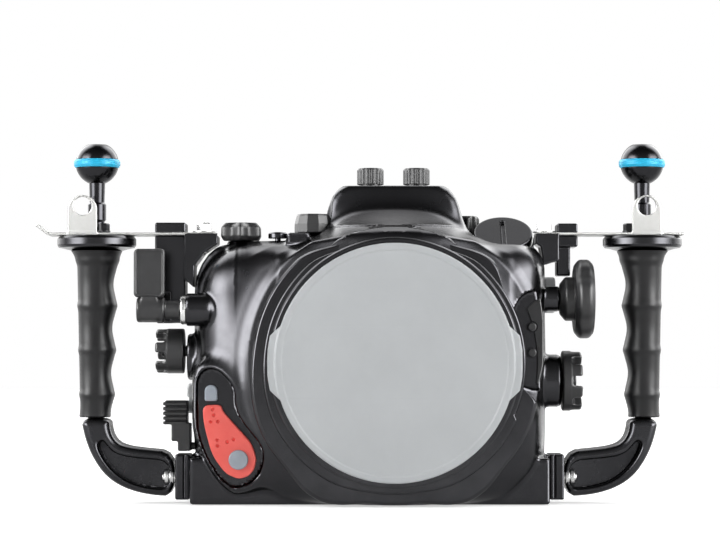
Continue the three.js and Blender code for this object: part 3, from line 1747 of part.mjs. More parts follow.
/** The part of a strap's bracket that grips the strap from behind. */
function strapBlock(side) {
  const at = side < 0 ? block_left : block_right;
  const block_inner = postOuter(side) - at.lap;
  const block_high = strap_low + at.rise;
  const block_low = block_high - at.height;
  const ends = [side * block_inner, side * (block_inner + at.width)].sort((a, b) => a - b);
  let form = block(ends, [at.front, at.back], [block_low, block_high]);
  if (side > 0) {
    const neck_x = [block_inner, block_inner + at.neck_width];
    const neck_z = [block_low - at.neck_depth, block_low + fit];
    form = form.add(block(neck_x, [at.neck_front, at.back], neck_z));
  }
  const slot = block(
    [ends[0] - overrun, ends[1] + overrun],
    [at.front - overrun, strap.half + fit],
    [strap_low - fit, strap_high + fit],
  );
  return form.subtract(slot);
}

/** A light-arm ball with its stem, collar and ring groove. */
function ballMount(side) {
  const base = strap_high + fit;
  const arc = [];
  const start = Math.asin(ball.stem / ball.radius);
  const collar_low = strap_high + ball.collar_rise;
  const collar_high = collar_low + ball.collar_height;
  const groove_low = ball_z - ball.ring_half - fit;
  const groove_high = ball_z + ball.ring_half + fit;
  for (let i = 0; i <= ball.arc_steps; i++) {
    const turn = THREE.MathUtils.lerp(start, Math.acos(-ball.flat / ball.radius), i / ball.arc_steps);
    arc.push([ball.radius * Math.sin(turn), ball_z - ball.radius * Math.cos(turn)]);
  }
  const profile = [
    [0, disc_high - ball.stud_depth],
    [ball.stud, disc_high - ball.stud_depth],
    [ball.stud, base],
    [ball.stem, base],
    [ball.stem, collar_low - fit],
    [ball.collar, collar_low],
    [ball.collar, collar_high],
    [ball.stem, collar_high + fit],
    ...arc.filter(([, z]) => z < groove_low || z > groove_high),
    [0, ball_z + ball.flat],
  ];
  const cut = profile.findIndex(([, z]) => z > groove_high);
  const shoulder = Math.sqrt(ball.radius ** 2 - (ball.ring_half + fit) ** 2);
  const groove = [
    [shoulder, groove_low],
    [ball.groove, groove_low],
    [ball.groove, groove_high],
    [shoulder, groove_high],
  ];
  profile.splice(cut, 0, ...groove);
  return turned(profile, Z, [grip_x(side), 0, 0]);
}

/** The rubber ring round a ball. */
function ballRing(side) {
  const low = ball_z - ball.ring_half;
  const high = ball_z + ball.ring_half;
  const inner = ball.groove + fit;
  const profile = [
    [inner, low],
    [ball.ring - ball.ring_half / 3, low],
    [ball.ring, low + ball.ring_half / 2],
    [ball.ring, high - ball.ring_half / 2],
    [ball.ring - ball.ring_half / 3, high],
    [inner, high],
    [inner, low],
  ];
  return turned(profile, Z, [grip_x(side), 0, 0]);
}

// Materials

/** A plain material of one colour. */
function finish(color, roughness, metalness) {
  return new THREE.MeshStandardMaterial({ color, roughness, metalness });
}

const anodised = finish("#151516", 0.42, 0.7);
const rubber = finish("#1c1c1d", 0.75, 0);
const plastic = finish("#1a1a1b", 0.5, 0);
const dark_plate = finish("#101011", 0.35, 0.2);
const cap_grey = finish("#b7babc", 0.55, 0);
const coral = finish("#fb6a60", 0.4, 0);
const grey_pin = finish("#9fa8b2", 0.4, 0.3);
const steel = finish("#d8d8d6", 0.35, 1);
const strap_steel = finish("#e4e4e2", 0.5, 1);
const latch_grey = finish("#c9cbcc", 0.45, 0.4);
const brass = finish("#b08d4a", 0.35, 1);
const seal_rubber = finish("#2a2a2c", 0.6, 0);
const blue_rubber = finish("#1fb8e3", 0.45, 0);
const glass = finish("#0e1418", 0.05, 0);
const tray_grey = finish("#8f9294", 0.45, 0.8);

// Assembly

const housing = new THREE.Group();

const front_half = new THREE.Group();
front_half.add(piece("front_shell", frontShell(), anodised));
front_half.add(piece("port_ring", portRing(), anodised));
front_half.add(piece("port_seal", portSeal(), seal_rubber));
front_half.add(piece("port_cap", portCap(), cap_grey));
front_half.add(piece("port_lock_lever", lockLever(), coral));
front_half.add(piece("port_lock_pivot", lockPivot(), grey_pin));
front_half.add(piece("port_lock_catch", lockCatch(), grey_pin));
front_half.add(piece("bulkhead_cap_left", bulkheadCap(-1), plastic));
front_half.add(piece("bulkhead_cap_right", bulkheadCap(1), plastic));
front_half.add(piece("accessory_plug", accessoryPlug(), anodised));
for (const [name, body] of Object.entries(topControls())) front_half.add(piece(name, body, plastic));
front_half.add(piece("shutter_lever", shutterLever(), plastic));
front_half.add(piece("shutter_bushing", shutterBushing(), steel));
front_half.add(piece("left_star_knob", sideKnob(), plastic));
front_half.add(piece("case_latch_left", latch(left_latch, -1), latch_grey));
front_half.add(piece("case_latch_right", latch(right_latch, 1), latch_grey));
front_half.add(piece("thumb_lever", thumbLever(), plastic));
front_half.add(piece("focus_knob", focusKnob(), plastic));
front_half.add(piece("zoom_knob", zoomKnob(), plastic));
front_half.add(piece("zoom_bevel_gear", zoomBevelGear(), brass));
front_half.add(piece("lens_drive_gear", lensDriveGear(), brass));
front_half.add(piece("lens_release_plate", releasePlate(), dark_plate));
front_half.add(piece("lens_release_button_upper", releaseButton(release_heights[0]), plastic));
front_half.add(piece("lens_release_button_lower", releaseButton(release_heights[1]), plastic));
front_half.add(piece("camera_tray", cameraTray(), tray_grey));
housing.add(front_half);

const rear_half = new THREE.Group();
rear_half.add(piece("rear_shell", rearShell(), anodised));
rear_half.add(piece("case_seal", caseSeal(), seal_rubber));
rear_half.add(
  piece(
    "rear_window",
    prism(windowOutline(rear_window.ledge), rear_back - rear_window.pane, rear_back),
    glass,
  ),
);
rear_half.add(piece("window_frame", windowFrame(), anodised));
rear_half.add(piece("eyepiece_body", eyepieceBody(), anodised));
const lens_high = rear_back + fit + eyepiece.depth - eyepiece.lens_back;
const lens_ends = [lens_high - eyepiece.lens_depth, lens_high];
rear_half.add(piece("eyepiece_lens", rod(eyepiece_lens_radius, ...lens_ends, Y, [0, 0, eyepiece.z]), glass));
rear_half.add(piece("rear_wheel", rearWheel(), plastic));
for (const [name, place] of Object.entries(rear_button_places)) {
  rear_half.add(piece(name, rearButton(place), plastic));
}
housing.add(rear_half);

for (const [word, side] of [
  ["left", -1],
  ["right", 1],
]) {
  const handle_group = new THREE.Group();
  handle_group.add(piece(`handle_arm_${word}`, handleArm(side), anodised));
  handle_group.add(piece(`side_block_${word}`, sideBlock(side), anodised));
  handle_group.add(piece(`handle_bolt_${word}`, handleBolt(side), steel));
  handle_group.add(piece(`grip_${word}`, gripSleeve(side), rubber));
  handle_group.add(piece(`grip_disc_${word}`, gripDisc(side), anodised));
  handle_group.add(piece(`strap_${word}`, strapBar(side), strap_steel));
  handle_group.add(piece(`strap_bolt_${word}`, strapBolt(side), steel));
  handle_group.add(piece(`eye_bolt_${word}`, eyeBolt(side), dark_plate));
  handle_group.add(piece(`strap_bracket_${word}`, strapPost(side).add(strapBlock(side)), anodised));
  handle_group.add(piece(`ball_mount_${word}`, ballMount(side), anodised));
  handle_group.add(piece(`ball_ring_${word}`, ballRing(side), blue_rubber));
  housing.add(handle_group);
}

export default housing;
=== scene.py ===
"""An underwater camera housing: two-part alloy case, capped port, controls and two ball-topped handles.

Lengths are millimetres in the frame of the CAD model: X to the right, Y to the back, Z up.
"""

import json
import logging
import math
from dataclasses import dataclass
from enum import Enum
from itertools import product
from typing import Callable, Sequence

import bpy
import numpy as np
from mathutils import Matrix, Vector


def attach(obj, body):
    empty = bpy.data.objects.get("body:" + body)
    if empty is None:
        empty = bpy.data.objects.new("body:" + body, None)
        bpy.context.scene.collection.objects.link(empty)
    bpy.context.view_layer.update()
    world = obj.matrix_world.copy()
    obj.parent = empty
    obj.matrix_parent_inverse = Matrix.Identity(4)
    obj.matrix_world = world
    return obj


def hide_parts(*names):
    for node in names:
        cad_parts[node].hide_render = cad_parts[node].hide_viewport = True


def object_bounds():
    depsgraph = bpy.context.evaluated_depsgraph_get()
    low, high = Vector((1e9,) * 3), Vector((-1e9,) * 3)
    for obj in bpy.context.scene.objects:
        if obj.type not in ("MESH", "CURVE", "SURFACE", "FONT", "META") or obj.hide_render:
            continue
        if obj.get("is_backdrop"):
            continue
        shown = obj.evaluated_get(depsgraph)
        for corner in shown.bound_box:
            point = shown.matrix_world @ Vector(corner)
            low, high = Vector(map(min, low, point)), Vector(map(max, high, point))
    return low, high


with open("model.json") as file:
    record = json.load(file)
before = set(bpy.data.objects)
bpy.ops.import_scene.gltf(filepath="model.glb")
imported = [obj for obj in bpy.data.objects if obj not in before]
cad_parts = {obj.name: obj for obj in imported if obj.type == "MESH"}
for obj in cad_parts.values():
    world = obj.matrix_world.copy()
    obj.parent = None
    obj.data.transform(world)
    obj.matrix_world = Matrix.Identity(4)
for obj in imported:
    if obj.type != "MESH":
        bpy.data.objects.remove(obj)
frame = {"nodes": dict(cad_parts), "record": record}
CAD_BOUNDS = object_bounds()

log = logging.getLogger("housing")
# Metres in a millimetre.
MM = 0.001
# How far from a form's box, beyond a fillet's width, its distance is still worked out in full.
ROOM = 4.0
# The net's grid: cells along a block, blocks worked out at once, cells of room round the form.
BLOCK = 8
BATCH = 600
MARGIN = 2.5
# Half a cube's diagonal for each unit of its side.
HALF_DIAGONAL = 0.87
# Sides of a rectangle's rounded corner.
CORNER_SIDES = 8
# The most of a profile's side that one rounded corner may take.
CORNER_SHARE = 0.49
# The least angle in degrees between two faces that meet in a sharp edge.
SHARP_ANGLE = 32
# Blender's wave texture runs through this many radians in a unit of length at scale 1.
WAVE_RADIANS = 20
Pair = tuple[float, float]
Triple = tuple[float, float, float]
Outline = Sequence[Pair]
# A turned profile: places of (radius, height, radius of the corner there).
Profile = Sequence[Triple]
# Gives the radii round a turned piece from the angles, a radius and a height.
Rim = Callable[[np.ndarray, float, float], np.ndarray]


class Axis(Enum):
    """The direction that a form is turned or drawn out along."""

    X = 0
    Y = 1
    Z = 2


class Side(Enum):
    """Which side of the housing a paired sub-assembly stands on, as seen in the photograph."""

    LEFT = -1
    RIGHT = 1


# Solids as distance functions


def least(a: np.ndarray, b: np.ndarray, blend: float) -> np.ndarray:
    """The smaller of two distances, run together over a fillet.

    Args:
        a: Distances to one form.
        b: Distances to the other.
        blend: Width of the fillet.

    Returns:
        The distances to both together.
    """
    if blend <= 0:
        return np.minimum(a, b)
    near = np.maximum(blend - np.abs(a - b), 0.0) / blend
    return np.minimum(a, b) - near * near * blend * 0.25


@dataclass(frozen=True)
class Form:
    """A solid: the signed distance to its surface, and the box round it."""

    distance: Callable[[np.ndarray], np.ndarray]
    low: np.ndarray
    high: np.ndarray

    def at(self, points: np.ndarray, room: float) -> np.ndarray:
        """Distances from points, exact only within room of the form's box.

        Args:
            points: Places, one a row.
            room: How far from the box the exact distance is worked out.

        Returns:
            One distance a point.
        """
        gap = np.maximum(np.maximum(self.low - points, points - self.high), 0.0)
        far = np.sqrt((gap * gap).sum(axis=1))
        close = far < room
        far[close] = self.distance(points[close])
        return far

    def join(self, *others: "Form", blend: float = 0.0) -> "Form":
        """This form with others, filleted where they meet.

        Args:
            others: The forms to add.
            blend: Width of the fillets.

        Returns:
            The joined form.
        """
        forms = (self, *others)

        def distance(points: np.ndarray) -> np.ndarray:
            """Distances to the joined forms."""
            found = self.at(points, blend + ROOM)
            for other in others:
                found = least(found, other.at(points, blend + ROOM), blend)
            return found

        low = np.min([form.low for form in forms], axis=0) - blend * 0.25
        high = np.max([form.high for form in forms], axis=0) + blend * 0.25
        return Form(distance, low, high)

    def cut(self, *others: "Form", blend: float = 0.0) -> "Form":
        """This form less others, with the edges rounded.

        Args:
            others: The forms to take away.
            blend: Width of the rounding.

        Returns:
            The form that is left.
        """

        def distance(points: np.ndarray) -> np.ndarray:
            """Distances to what is left."""
            found = self.distance(points)
            for other in others:
                found = -least(-found, other.at(points, blend + ROOM), blend)
            return found

        return Form(distance, self.low, self.high)

    def meet(self, other: "Form", blend: float = 0.0) -> "Form":
        """What this form and another share.

        Args:
            other: The second form.
            blend: Width of the rounding where their faces cross.

        Returns:
            The shared form.
        """
        low = np.maximum(self.low, other.low)
        high = np.minimum(self.high, other.high)
        return Form(lambda p: -least(-self.distance(p), -other.distance(p), blend), low, high)

    def moved(self, matrix: Matrix) -> "Form":
        """This form carried by a turn and a shift.

        Args:
            matrix: A rigid move.

        Returns:
            The moved form.
        """
        back = np.array(matrix.inverted())
        corners = np.array([matrix @ Vector(corner) for corner in product(*zip(self.low, self.high))])

        def distance(points: np.ndarray) -> np.ndarray:
            """Distances to the moved form."""
            return self.distance(points @ back[:3, :3].T + back[:3, 3])

        return Form(distance, corners.min(axis=0), corners.max(axis=0))


def flat_distance(points: np.ndarray, outline: Outline) -> np.ndarray:
    """Signed distance in a plane to a closed outline, negative inside it.

    Args:
        points: Places in the plane, one a row.
        outline: The corners in order.

    Returns:
        One distance a point.
    """
    x, y = points[:, 0], points[:, 1]
    best = np.full(len(points), np.inf)
    inside = np.zeros(len(points), bool)
    corners = np.array(outline, float)
    for start, end in zip(corners, np.roll(corners, -1, axis=0)):
        run = end - start
        length = float(run @ run)
        if length == 0:
            continue
        dx, dy = x - start[0], y - start[1]
        along = np.clip((dx * run[0] + dy * run[1]) / length, 0.0, 1.0)
        gx, gy = dx - run[0] * along, dy - run[1] * along
        best = np.minimum(best, gx * gx + gy * gy)
        if run[1] != 0:
            crosses = (start[1] <= y) != (end[1] <= y)
            inside ^= crosses & (dx < run[0] * dy / run[1])
    return np.where(inside, -1.0, 1.0) * np.sqrt(best)


def capped(side: np.ndarray, end: np.ndarray, edge: float) -> np.ndarray:
    """Distances to a drawn-out shape with rounded edges.

    Args:
        side: Distances past its sides, less the edge.
        end: Distances past its ends, less the edge.
        edge: Radius of the edges.

    Returns:
        One distance a point.
    """
    outer = np.sqrt(np.maximum(side, 0) ** 2 + np.maximum(end, 0) ** 2)
    return outer + np.minimum(np.maximum(side, end), 0) - edge


def slab(outline: Outline, low: float, high: float, axis: Axis, edge: float = 0.0) -> Form:
    """An outline drawn out along an axis, with rounded edges.

    Args:
        outline: Corners in the plane of the two other axes, in their own order.
        low: Where it starts along the axis.
        high: Where it ends.
        axis: The axis.
        edge: Radius of the edges.

    Returns:
        The solid.
    """
    across = [n for n in range(3) if n != axis.value]
    middle, half = (low + high) / 2, (high - low) / 2

    def distance(points: np.ndarray) -> np.ndarray:
        """Distances to the drawn-out outline."""
        side = flat_distance(points[:, across], outline) + edge
        return capped(side, np.abs(points[:, axis.value] - middle) - half + edge, edge)

    places = np.array(outline, float)
    box_low, box_high = np.empty(3), np.empty(3)
    box_low[across], box_high[across] = places.min(axis=0), places.max(axis=0)
    box_low[axis.value], box_high[axis.value] = low, high
    return Form(distance, box_low, box_high)


def rod(radius: float, low: float, high: float, axis: Axis, centre: Triple, edge: float = 0.0) -> Form:
    """A round bar along an axis.

    Args:
        radius: Its radius.
        low: Where it starts along the axis.
        high: Where it ends.
        axis: The axis.
        centre: A point on its middle line.
        edge: Radius of its end edges.

    Returns:
        The solid.
    """
    across = [n for n in range(3) if n != axis.value]
    place = np.array(centre, float)
    middle, half = (low + high) / 2, (high - low) / 2

    def distance(points: np.ndarray) -> np.ndarray:
        """Distances to the bar."""
        off = points[:, across] - place[across]
        side = np.sqrt((off * off).sum(axis=1)) - radius + edge
        return capped(side, np.abs(points[:, axis.value] - middle) - half + edge, edge)

    box_low, box_high = place - radius, place + radius
    box_low[axis.value], box_high[axis.value] = low, high
    return Form(distance, box_low, box_high)


def box(x: Pair, y: Pair, z: Pair, edge: float = 0.0) -> Form:
    """A block between two places on each axis, with rounded edges.

    Args:
        x: Its ends across.
        y: Its ends from front to back.
        z: Its ends up.
        edge: Radius of its edges.

    Returns:
        The solid.
    """
    low, high = np.array([x[0], y[0], z[0]], float), np.array([x[1], y[1], z[1]], float)
    middle, half = (low + high) / 2, (high - low) / 2 - edge

    def distance(points: np.ndarray) -> np.ndarray:
        """Distances to the block."""
        gap = np.abs(points - middle) - half
        outer = np.sqrt((np.maximum(gap, 0) ** 2).sum(axis=1))
        return outer + np.minimum(gap.max(axis=1), 0) - edge

    return Form(distance, low, high)


def spun_form(profile: Outline, axis: Axis, centre: Triple) -> Form:
    """A closed outline of (radius, place along the axis) turned about an axis.

    Args:
        profile: The outline.
        axis: The axis.
        centre: A point on the axis.

    Returns:
        The solid.
    """
    across = [n for n in range(3) if n != axis.value]
    place = np.array(centre, float)

    def distance(points: np.ndarray) -> np.ndarray:
        """Distances to the turned outline."""
        off = points[:, across] - place[across]
        radius = np.sqrt((off * off).sum(axis=1))
        return flat_distance(np.stack([radius, points[:, axis.value]], axis=1), profile)

    places = np.array(profile, float)
    widest = places[:, 0].max()
    box_low, box_high = place - widest, place + widest
    box_low[axis.value], box_high[axis.value] = places[:, 1].min(), places[:, 1].max()
    return Form(distance, box_low, box_high)


def softened(outline: Outline, rounds: int = 2, share: float = 0.25) -> list[Pair]:
    """An outline with its corners cut again and again until they are round.

    Args:
        outline: The corners.
        rounds: How many times they are cut.
        share: How much of each side a cut takes.

    Returns:
        The softened outline.
    """
    places = np.array(outline, float)
    for _ in range(rounds):
        after = np.roll(places, -1, axis=0)
        first, second = places + (after - places) * share, after + (places - after) * share
        places = np.stack([first, second], axis=1).reshape(-1, 2)
    return [tuple(place) for place in places]


def rounded(
    left: float, right: float, low: float, high: float, radii: float | Sequence[float]
) -> list[Pair]:
    """A rectangle with a radius at each corner.

    Args:
        left: Its left side.
        right: Its right side.
        low: Its bottom.
        high: Its top.
        radii: One radius for all, or four from the lower left corner, round by the lower right.

    Returns:
        The outline.
    """
    each = (radii,) * 4 if isinstance(radii, float) else radii
    corners = [(left, low, 1, 1), (right, low, -1, 1), (right, high, -1, -1), (left, high, 1, -1)]
    points = []
    for turn, ((x, z, in_x, in_z), radius) in enumerate(zip(corners, each)):
        for step in range(CORNER_SIDES + 1):
            angle = math.pi * (1 + turn / 2 + step / (2 * CORNER_SIDES))
            across = x + in_x * radius + radius * math.cos(angle)
            points.append((across, z + in_z * radius + radius * math.sin(angle)))
    return points


# Meshes from forms and profiles


@dataclass(frozen=True)
class Skin:
    """A surface: its points, its four-sided faces and, where they are known, its normals."""

    points: np.ndarray
    faces: np.ndarray
    normals: np.ndarray | None = None


def carried(made: Skin, matrix: Matrix) -> Skin:
    """A surface carried by a turn and a shift.

    Args:
        made: The surface.
        matrix: A rigid move.

    Returns:
        The moved surface.
    """
    move = np.array(matrix)
    normals = None if made.normals is None else made.normals @ move[:3, :3].T
    return Skin(made.points @ move[:3, :3].T + move[:3, 3], made.faces, normals)


def closed(points: np.ndarray, rings: int, sides: int) -> Skin:
    """A surface that faces out, through rings of points that close at both ends or run into a loop.

    Args:
        points: The points, ring by ring.
        rings: How many rings there are.
        sides: How many points each ring has.

    Returns:
        The surface.
    """
    row = np.arange(sides)
    after = (row + 1) % sides
    strips = []
    for start in range(0, (rings - 1) * sides, sides):
        strips.append(np.stack([row, after, after + sides, row + sides], axis=1) + start)
    quads = np.concatenate(strips)
    a, b, c, d = (points[quads[:, n]] for n in range(4))
    volume = float((np.cross(b - a, c - a) * a).sum() + (np.cross(c - a, d - a) * a).sum())
    return Skin(points, quads if volume > 0 else quads[:, ::-1])


def lofted(rings: np.ndarray) -> Skin:
    """A surface through rings of points, closed at both ends.

    Args:
        rings: Points by ring, by place round it and by axis.

    Returns:
        The surface.
    """
    count, sides = rings.shape[:2]
    first, last = rings[:1].mean(axis=1, keepdims=True), rings[-1:].mean(axis=1, keepdims=True)
    whole = np.concatenate([np.repeat(first, sides, 1), rings, np.repeat(last, sides, 1)])
    return closed(whole.reshape(-1, 3), count + 2, sides)


def gradient(form: Form, points: np.ndarray, reach: float) -> np.ndarray:
    """The direction straight out of a form at each point.

    Args:
        form: The form.
        points: Places near its surface.
        reach: Half the distance that the slope is measured over.

    Returns:
        One unit vector a point.
    """
    ways = np.array([[1, -1, -1], [-1, -1, 1], [-1, 1, -1], [1, 1, 1]], float)
    slope = sum(way * form.distance(points + way * reach)[:, None] for way in ways)
    return slope / np.maximum(np.linalg.norm(slope, axis=1), 1e-9)[:, None]


def skin(form: Form, step: float, relax: int = 2) -> Skin:
    """The surface of a form as an even net of four-sided faces.

    Args:
        form: The form.
        step: Side of one face.
        relax: How often the net is evened out.

    Returns:
        The surface.
    """
    step = step * 1.0
    low = form.low - MARGIN * step
    blocks = np.ceil((form.high + MARGIN * step - low) / (step * BLOCK)).astype(int)
    cells = np.stack(np.meshgrid(*[np.arange(n) for n in blocks], indexing="ij"), axis=-1)
    centres = low + ((cells + 0.5) * BLOCK - 0.5) * step
    rough = form.distance(centres.reshape(-1, 3)).reshape(blocks)
    field = np.repeat(np.repeat(np.repeat(rough, BLOCK, 0), BLOCK, 1), BLOCK, 2)
    offsets = np.stack(np.meshgrid(*[np.arange(BLOCK)] * 3, indexing="ij"), axis=-1).reshape(-1, 3)
    close = np.argwhere(np.abs(rough) < step * (BLOCK * HALF_DIAGONAL + 2))
    for start in range(0, len(close), BATCH):
        batch = close[start : start + BATCH, None, :] * BLOCK + offsets[None]
        places = batch.reshape(-1, 3)
        field[places[:, 0], places[:, 1], places[:, 2]] = form.distance(low + places * step)
    inside = field < 0
    count = np.zeros(np.array(inside.shape) - 1, np.int8)
    for corner in product((slice(None, -1), slice(1, None)), repeat=3):
        count += inside[corner]
    mixed = (count > 0) & (count < 8)
    number = np.full(mixed.shape, -1, np.int64)
    number[mixed] = np.arange(int(mixed.sum()))
    points = low + (np.argwhere(mixed) + 0.5) * step
    faces = []
    for axis in range(3):
        order = (axis, (axis + 1) % 3, (axis + 2) % 3)
        solid, net = np.transpose(inside, order), np.transpose(number, order)
        i, j, k = np.nonzero((solid[:-1] != solid[1:])[:, 1:-1, 1:-1])
        j, k = j + 1, k + 1
        quad = np.stack([net[i, j - 1, k - 1], net[i, j, k - 1], net[i, j, k], net[i, j - 1, k]], axis=1)
        faces.append(np.where(solid[i, j, k][:, None], quad, quad[:, ::-1]))
    quads = np.concatenate(faces)
    quads = quads[(quads >= 0).all(axis=1)]
    edges = np.concatenate([quads[:, [n, (n + 1) % 4]] for n in range(4)])
    shares = np.bincount(edges[:, 0], minlength=len(points)).astype(float)[:, None]
    for turn in range(relax + 1):
        if turn:
            sums = [np.bincount(edges[:, 0], points[edges[:, 1], n], len(points)) for n in range(3)]
            points = np.where(shares > 0, np.stack(sums, axis=1) / np.maximum(shares, 1), points)
        for _ in range(2):
            off = np.clip(form.distance(points), -step, step)
            points = points - gradient(form, points, step * 0.25) * off[:, None]
    return Skin(points, quads, gradient(form, points, step * 0.4))


def filleted(profile: Profile, steps: int) -> list[Pair]:
    """A profile whose corners are rounded, each by its own radius.

    Args:
        profile: Places of (radius, height, corner radius).
        steps: Sides of each rounded corner.

    Returns:
        The places of the rounded profile.
    """
    points = [np.array(place[:2], float) for place in profile]
    radii = [place[2] for place in profile[1:]]
    made = [tuple(points[0])]
    for before, here, after, radius in zip(points, points[1:], points[2:], radii):
        back, on = before - here, after - here
        span_back, span_on = np.linalg.norm(back), np.linalg.norm(on)
        if radius <= 0 or min(span_back, span_on) == 0:
            made.append(tuple(here))
            continue
        back, on = back / span_back, on / span_on
        half = math.acos(float(np.clip(back @ on, -1, 1))) / 2
        reach = min(radius / max(math.tan(half), 1e-6), span_back * CORNER_SHARE, span_on * CORNER_SHARE)
        for share in (step / steps for step in range(steps + 1)):
            made.append(tuple(here + back * reach * (1 - share) ** 2 + on * reach * share**2))
    made.append(tuple(points[-1]))
    return made


def spun(
    profile: Profile, axis: Axis, centre: Triple, sides: int = 96, rim: Rim | None = None, steps: int = 4
) -> Skin:
    """A profile with rounded corners, turned about an axis, which its ends meet unless it is a loop.

    Args:
        profile: The profile, from one end of the axis to the other, or back to its start.
        axis: The axis.
        centre: A point on the axis; heights count from it.
        sides: Faces round it.
        rim: Gives the radii round it, where it isn't round.
        steps: Sides of each rounded corner.

    Returns:
        The surface.
    """
    angles = np.arange(sides) * 2 * math.pi / sides
    rings = []
    for radius, height in filleted(profile, steps):
        reach = np.full(sides, radius) if rim is None else rim(angles, radius, height)
        ring = [reach * np.cos(angles), reach * np.sin(angles), np.full(sides, height)]
        rings.append(np.stack(ring, axis=1))
    order = {Axis.X: [2, 0, 1], Axis.Y: [1, 2, 0], Axis.Z: [0, 1, 2]}[axis]
    points = np.concatenate(rings)[:, order] + np.array(centre, float)
    return closed(points, len(rings), sides)


def lobed(count: int, depth: float, from_radius: float, power: float = 1.0, turn: float = 0.0) -> Rim:
    """A rim with lobes, for turned knobs.

    Args:
        count: How many lobes.
        depth: How deep the valleys are.
        from_radius: Radius inside which the form stays round.
        power: Over 1 makes lobes broad and valleys narrow.
        turn: Angle of the first lobe in degrees.

    Returns:
        A rim for spun.
    """

    def reach(angles: np.ndarray, radius: float, _height: float) -> np.ndarray:
        """Radii round the rim."""
        share = np.clip((radius - from_radius) / max(from_radius * 0.25, 1e-6), 0.0, 1.0)
        valley = (0.5 - 0.5 * np.cos(count * (angles - math.radians(turn)))) ** power
        return radius - depth * share * valley

    return reach


def ease(values: np.ndarray, start: float, end: float) -> np.ndarray:
    """A smooth step from 0 at the start to 1 at the end.

    Args:
        values: What the step follows.
        start: Where it leaves 0.
        end: Where it reaches 1.

    Returns:
        The steps' heights.
    """
    share = np.clip((values - start) / (end - start), 0.0, 1.0)
    return share * share * (3 - 2 * share)


def sided(count: int, turn: float = 0.0) -> Rim:
    """A many-sided rim, such as a hexagon's, for bolts and faceted dials.

    Args:
        count: How many flats.
        turn: Angle of the first corner in degrees.

    Returns:
        A rim for spun.
    """

    def reach(angles: np.ndarray, radius: float, _height: float) -> np.ndarray:
        """Radii round the flats."""
        within = (angles - math.radians(turn)) % (2 * math.pi / count) - math.pi / count
        return radius * math.cos(math.pi / count) / np.cos(within)

    return reach


# Finishes


def linear(colour: str) -> tuple[float, float, float, float]:
    """An sRGB hex colour as linear light.

    Args:
        colour: Such as #1c1c1d.

    Returns:
        Red, green, blue and 1.
    """
    parts = [int(colour[n : n + 2], 16) / 255 for n in (1, 3, 5)]
    red, green, blue = (c / 12.92 if c <= 0.04045 else ((c + 0.055) / 1.055) ** 2.4 for c in parts)
    return red, green, blue, 1.0


def node(
    tree: bpy.types.NodeTree, kind: str, settings: dict | None = None, **links: object
) -> bpy.types.Node:
    """A node with its settings, values and links.

    Args:
        tree: The node tree.
        kind: The node's type.
        settings: Attributes of the node, such as its operation.
        links: Sockets by name, with underscores for spaces, or i0, i1 by number: a value or an output.

    Returns:
        The node.
    """
    made = tree.nodes.new(kind)
    for key, value in (settings or {}).items():
        setattr(made, key, value)
    for key, value in links.items():
        numbered = key[0] == "i" and key[1:].isdigit()
        socket = made.inputs[int(key[1:])] if numbered else made.inputs[key.replace("_", " ")]
        if isinstance(value, bpy.types.NodeSocket):
            tree.links.new(value, socket)
        else:
            socket.default_value = value
    return made


@dataclass(frozen=True)
class Finish:
    """A surface: its colour and gloss, the fine grain on it and the slow drift of both.

    grain is the size of one grain, relief its height and drift the size of the patches, in millimetres;
    tint is the colour and uneven the spread of roughness from patch to patch.
    """

    name: str
    colour: str
    tint: str
    roughness: float
    metallic: float = 0.0
    grain: float = 0.8
    relief: float = 0.03
    drift: float = 24.0
    uneven: float = 0.08
    specular: float = 0.5

    def relief_of(self, tree: bpy.types.NodeTree, place: bpy.types.NodeSocket) -> bpy.types.NodeSocket:
        """Height of the fine surface in grains.

        Args:
            tree: The material's nodes.
            place: The place on the object in metres.

        Returns:
            The height.
        """
        scale = 1 / (self.grain * MM)
        grit = node(tree, "ShaderNodeTexNoise", Vector=place, Scale=scale, Detail=3.0, Roughness=0.6)
        return grit.outputs["Fac"]

    def marks(self, tree: bpy.types.NodeTree, place: bpy.types.NodeSocket) -> bpy.types.NodeSocket:
        """Where the colour leans to the tint, from 0 to 1.

        Args:
            tree: The material's nodes.
            place: The place on the object in metres.

        Returns:
            The share of tint.
        """
        scale = 1 / (self.drift * MM)
        cloud = node(tree, "ShaderNodeTexNoise", Vector=place, Scale=scale, Detail=4.0, Roughness=0.65)
        # Nearly all of the noise lies between these.
        limits = {"From_Min": 0.32, "From_Max": 0.68}
        return node(tree, "ShaderNodeMapRange", Value=cloud.outputs["Fac"], **limits).outputs["Result"]

    def material(self) -> bpy.types.Material:
        """The material, made once."""
        ready = bpy.data.materials.get(self.name)
        if ready:
            return ready
        made = bpy.data.materials.new(self.name)
        made.use_nodes = True
        tree = made.node_tree
        shader = tree.nodes["Principled BSDF"]
        place = node(tree, "ShaderNodeTexCoord").outputs["Object"]
        marks = self.marks(tree, place)
        colours = {"i0": marks, "i6": linear(self.colour), "i7": linear(self.tint)}
        mix = node(tree, "ShaderNodeMix", {"data_type": "RGBA"}, **colours)
        tree.links.new(mix.outputs[2], shader.inputs["Base Color"])
        gloss = {"To_Min": self.roughness - self.uneven / 2, "To_Max": self.roughness + self.uneven / 2}
        rough = node(tree, "ShaderNodeMapRange", Value=marks, **gloss)
        tree.links.new(rough.outputs["Result"], shader.inputs["Roughness"])
        height = self.relief_of(tree, place)
        bump = node(tree, "ShaderNodeBump", Height=height, Distance=self.relief * MM, Strength=1.0)
        tree.links.new(bump.outputs["Normal"], shader.inputs["Normal"])
        shader.inputs["Metallic"].default_value = self.metallic
        shader.inputs["Specular IOR Level"].default_value = self.specular
        return made


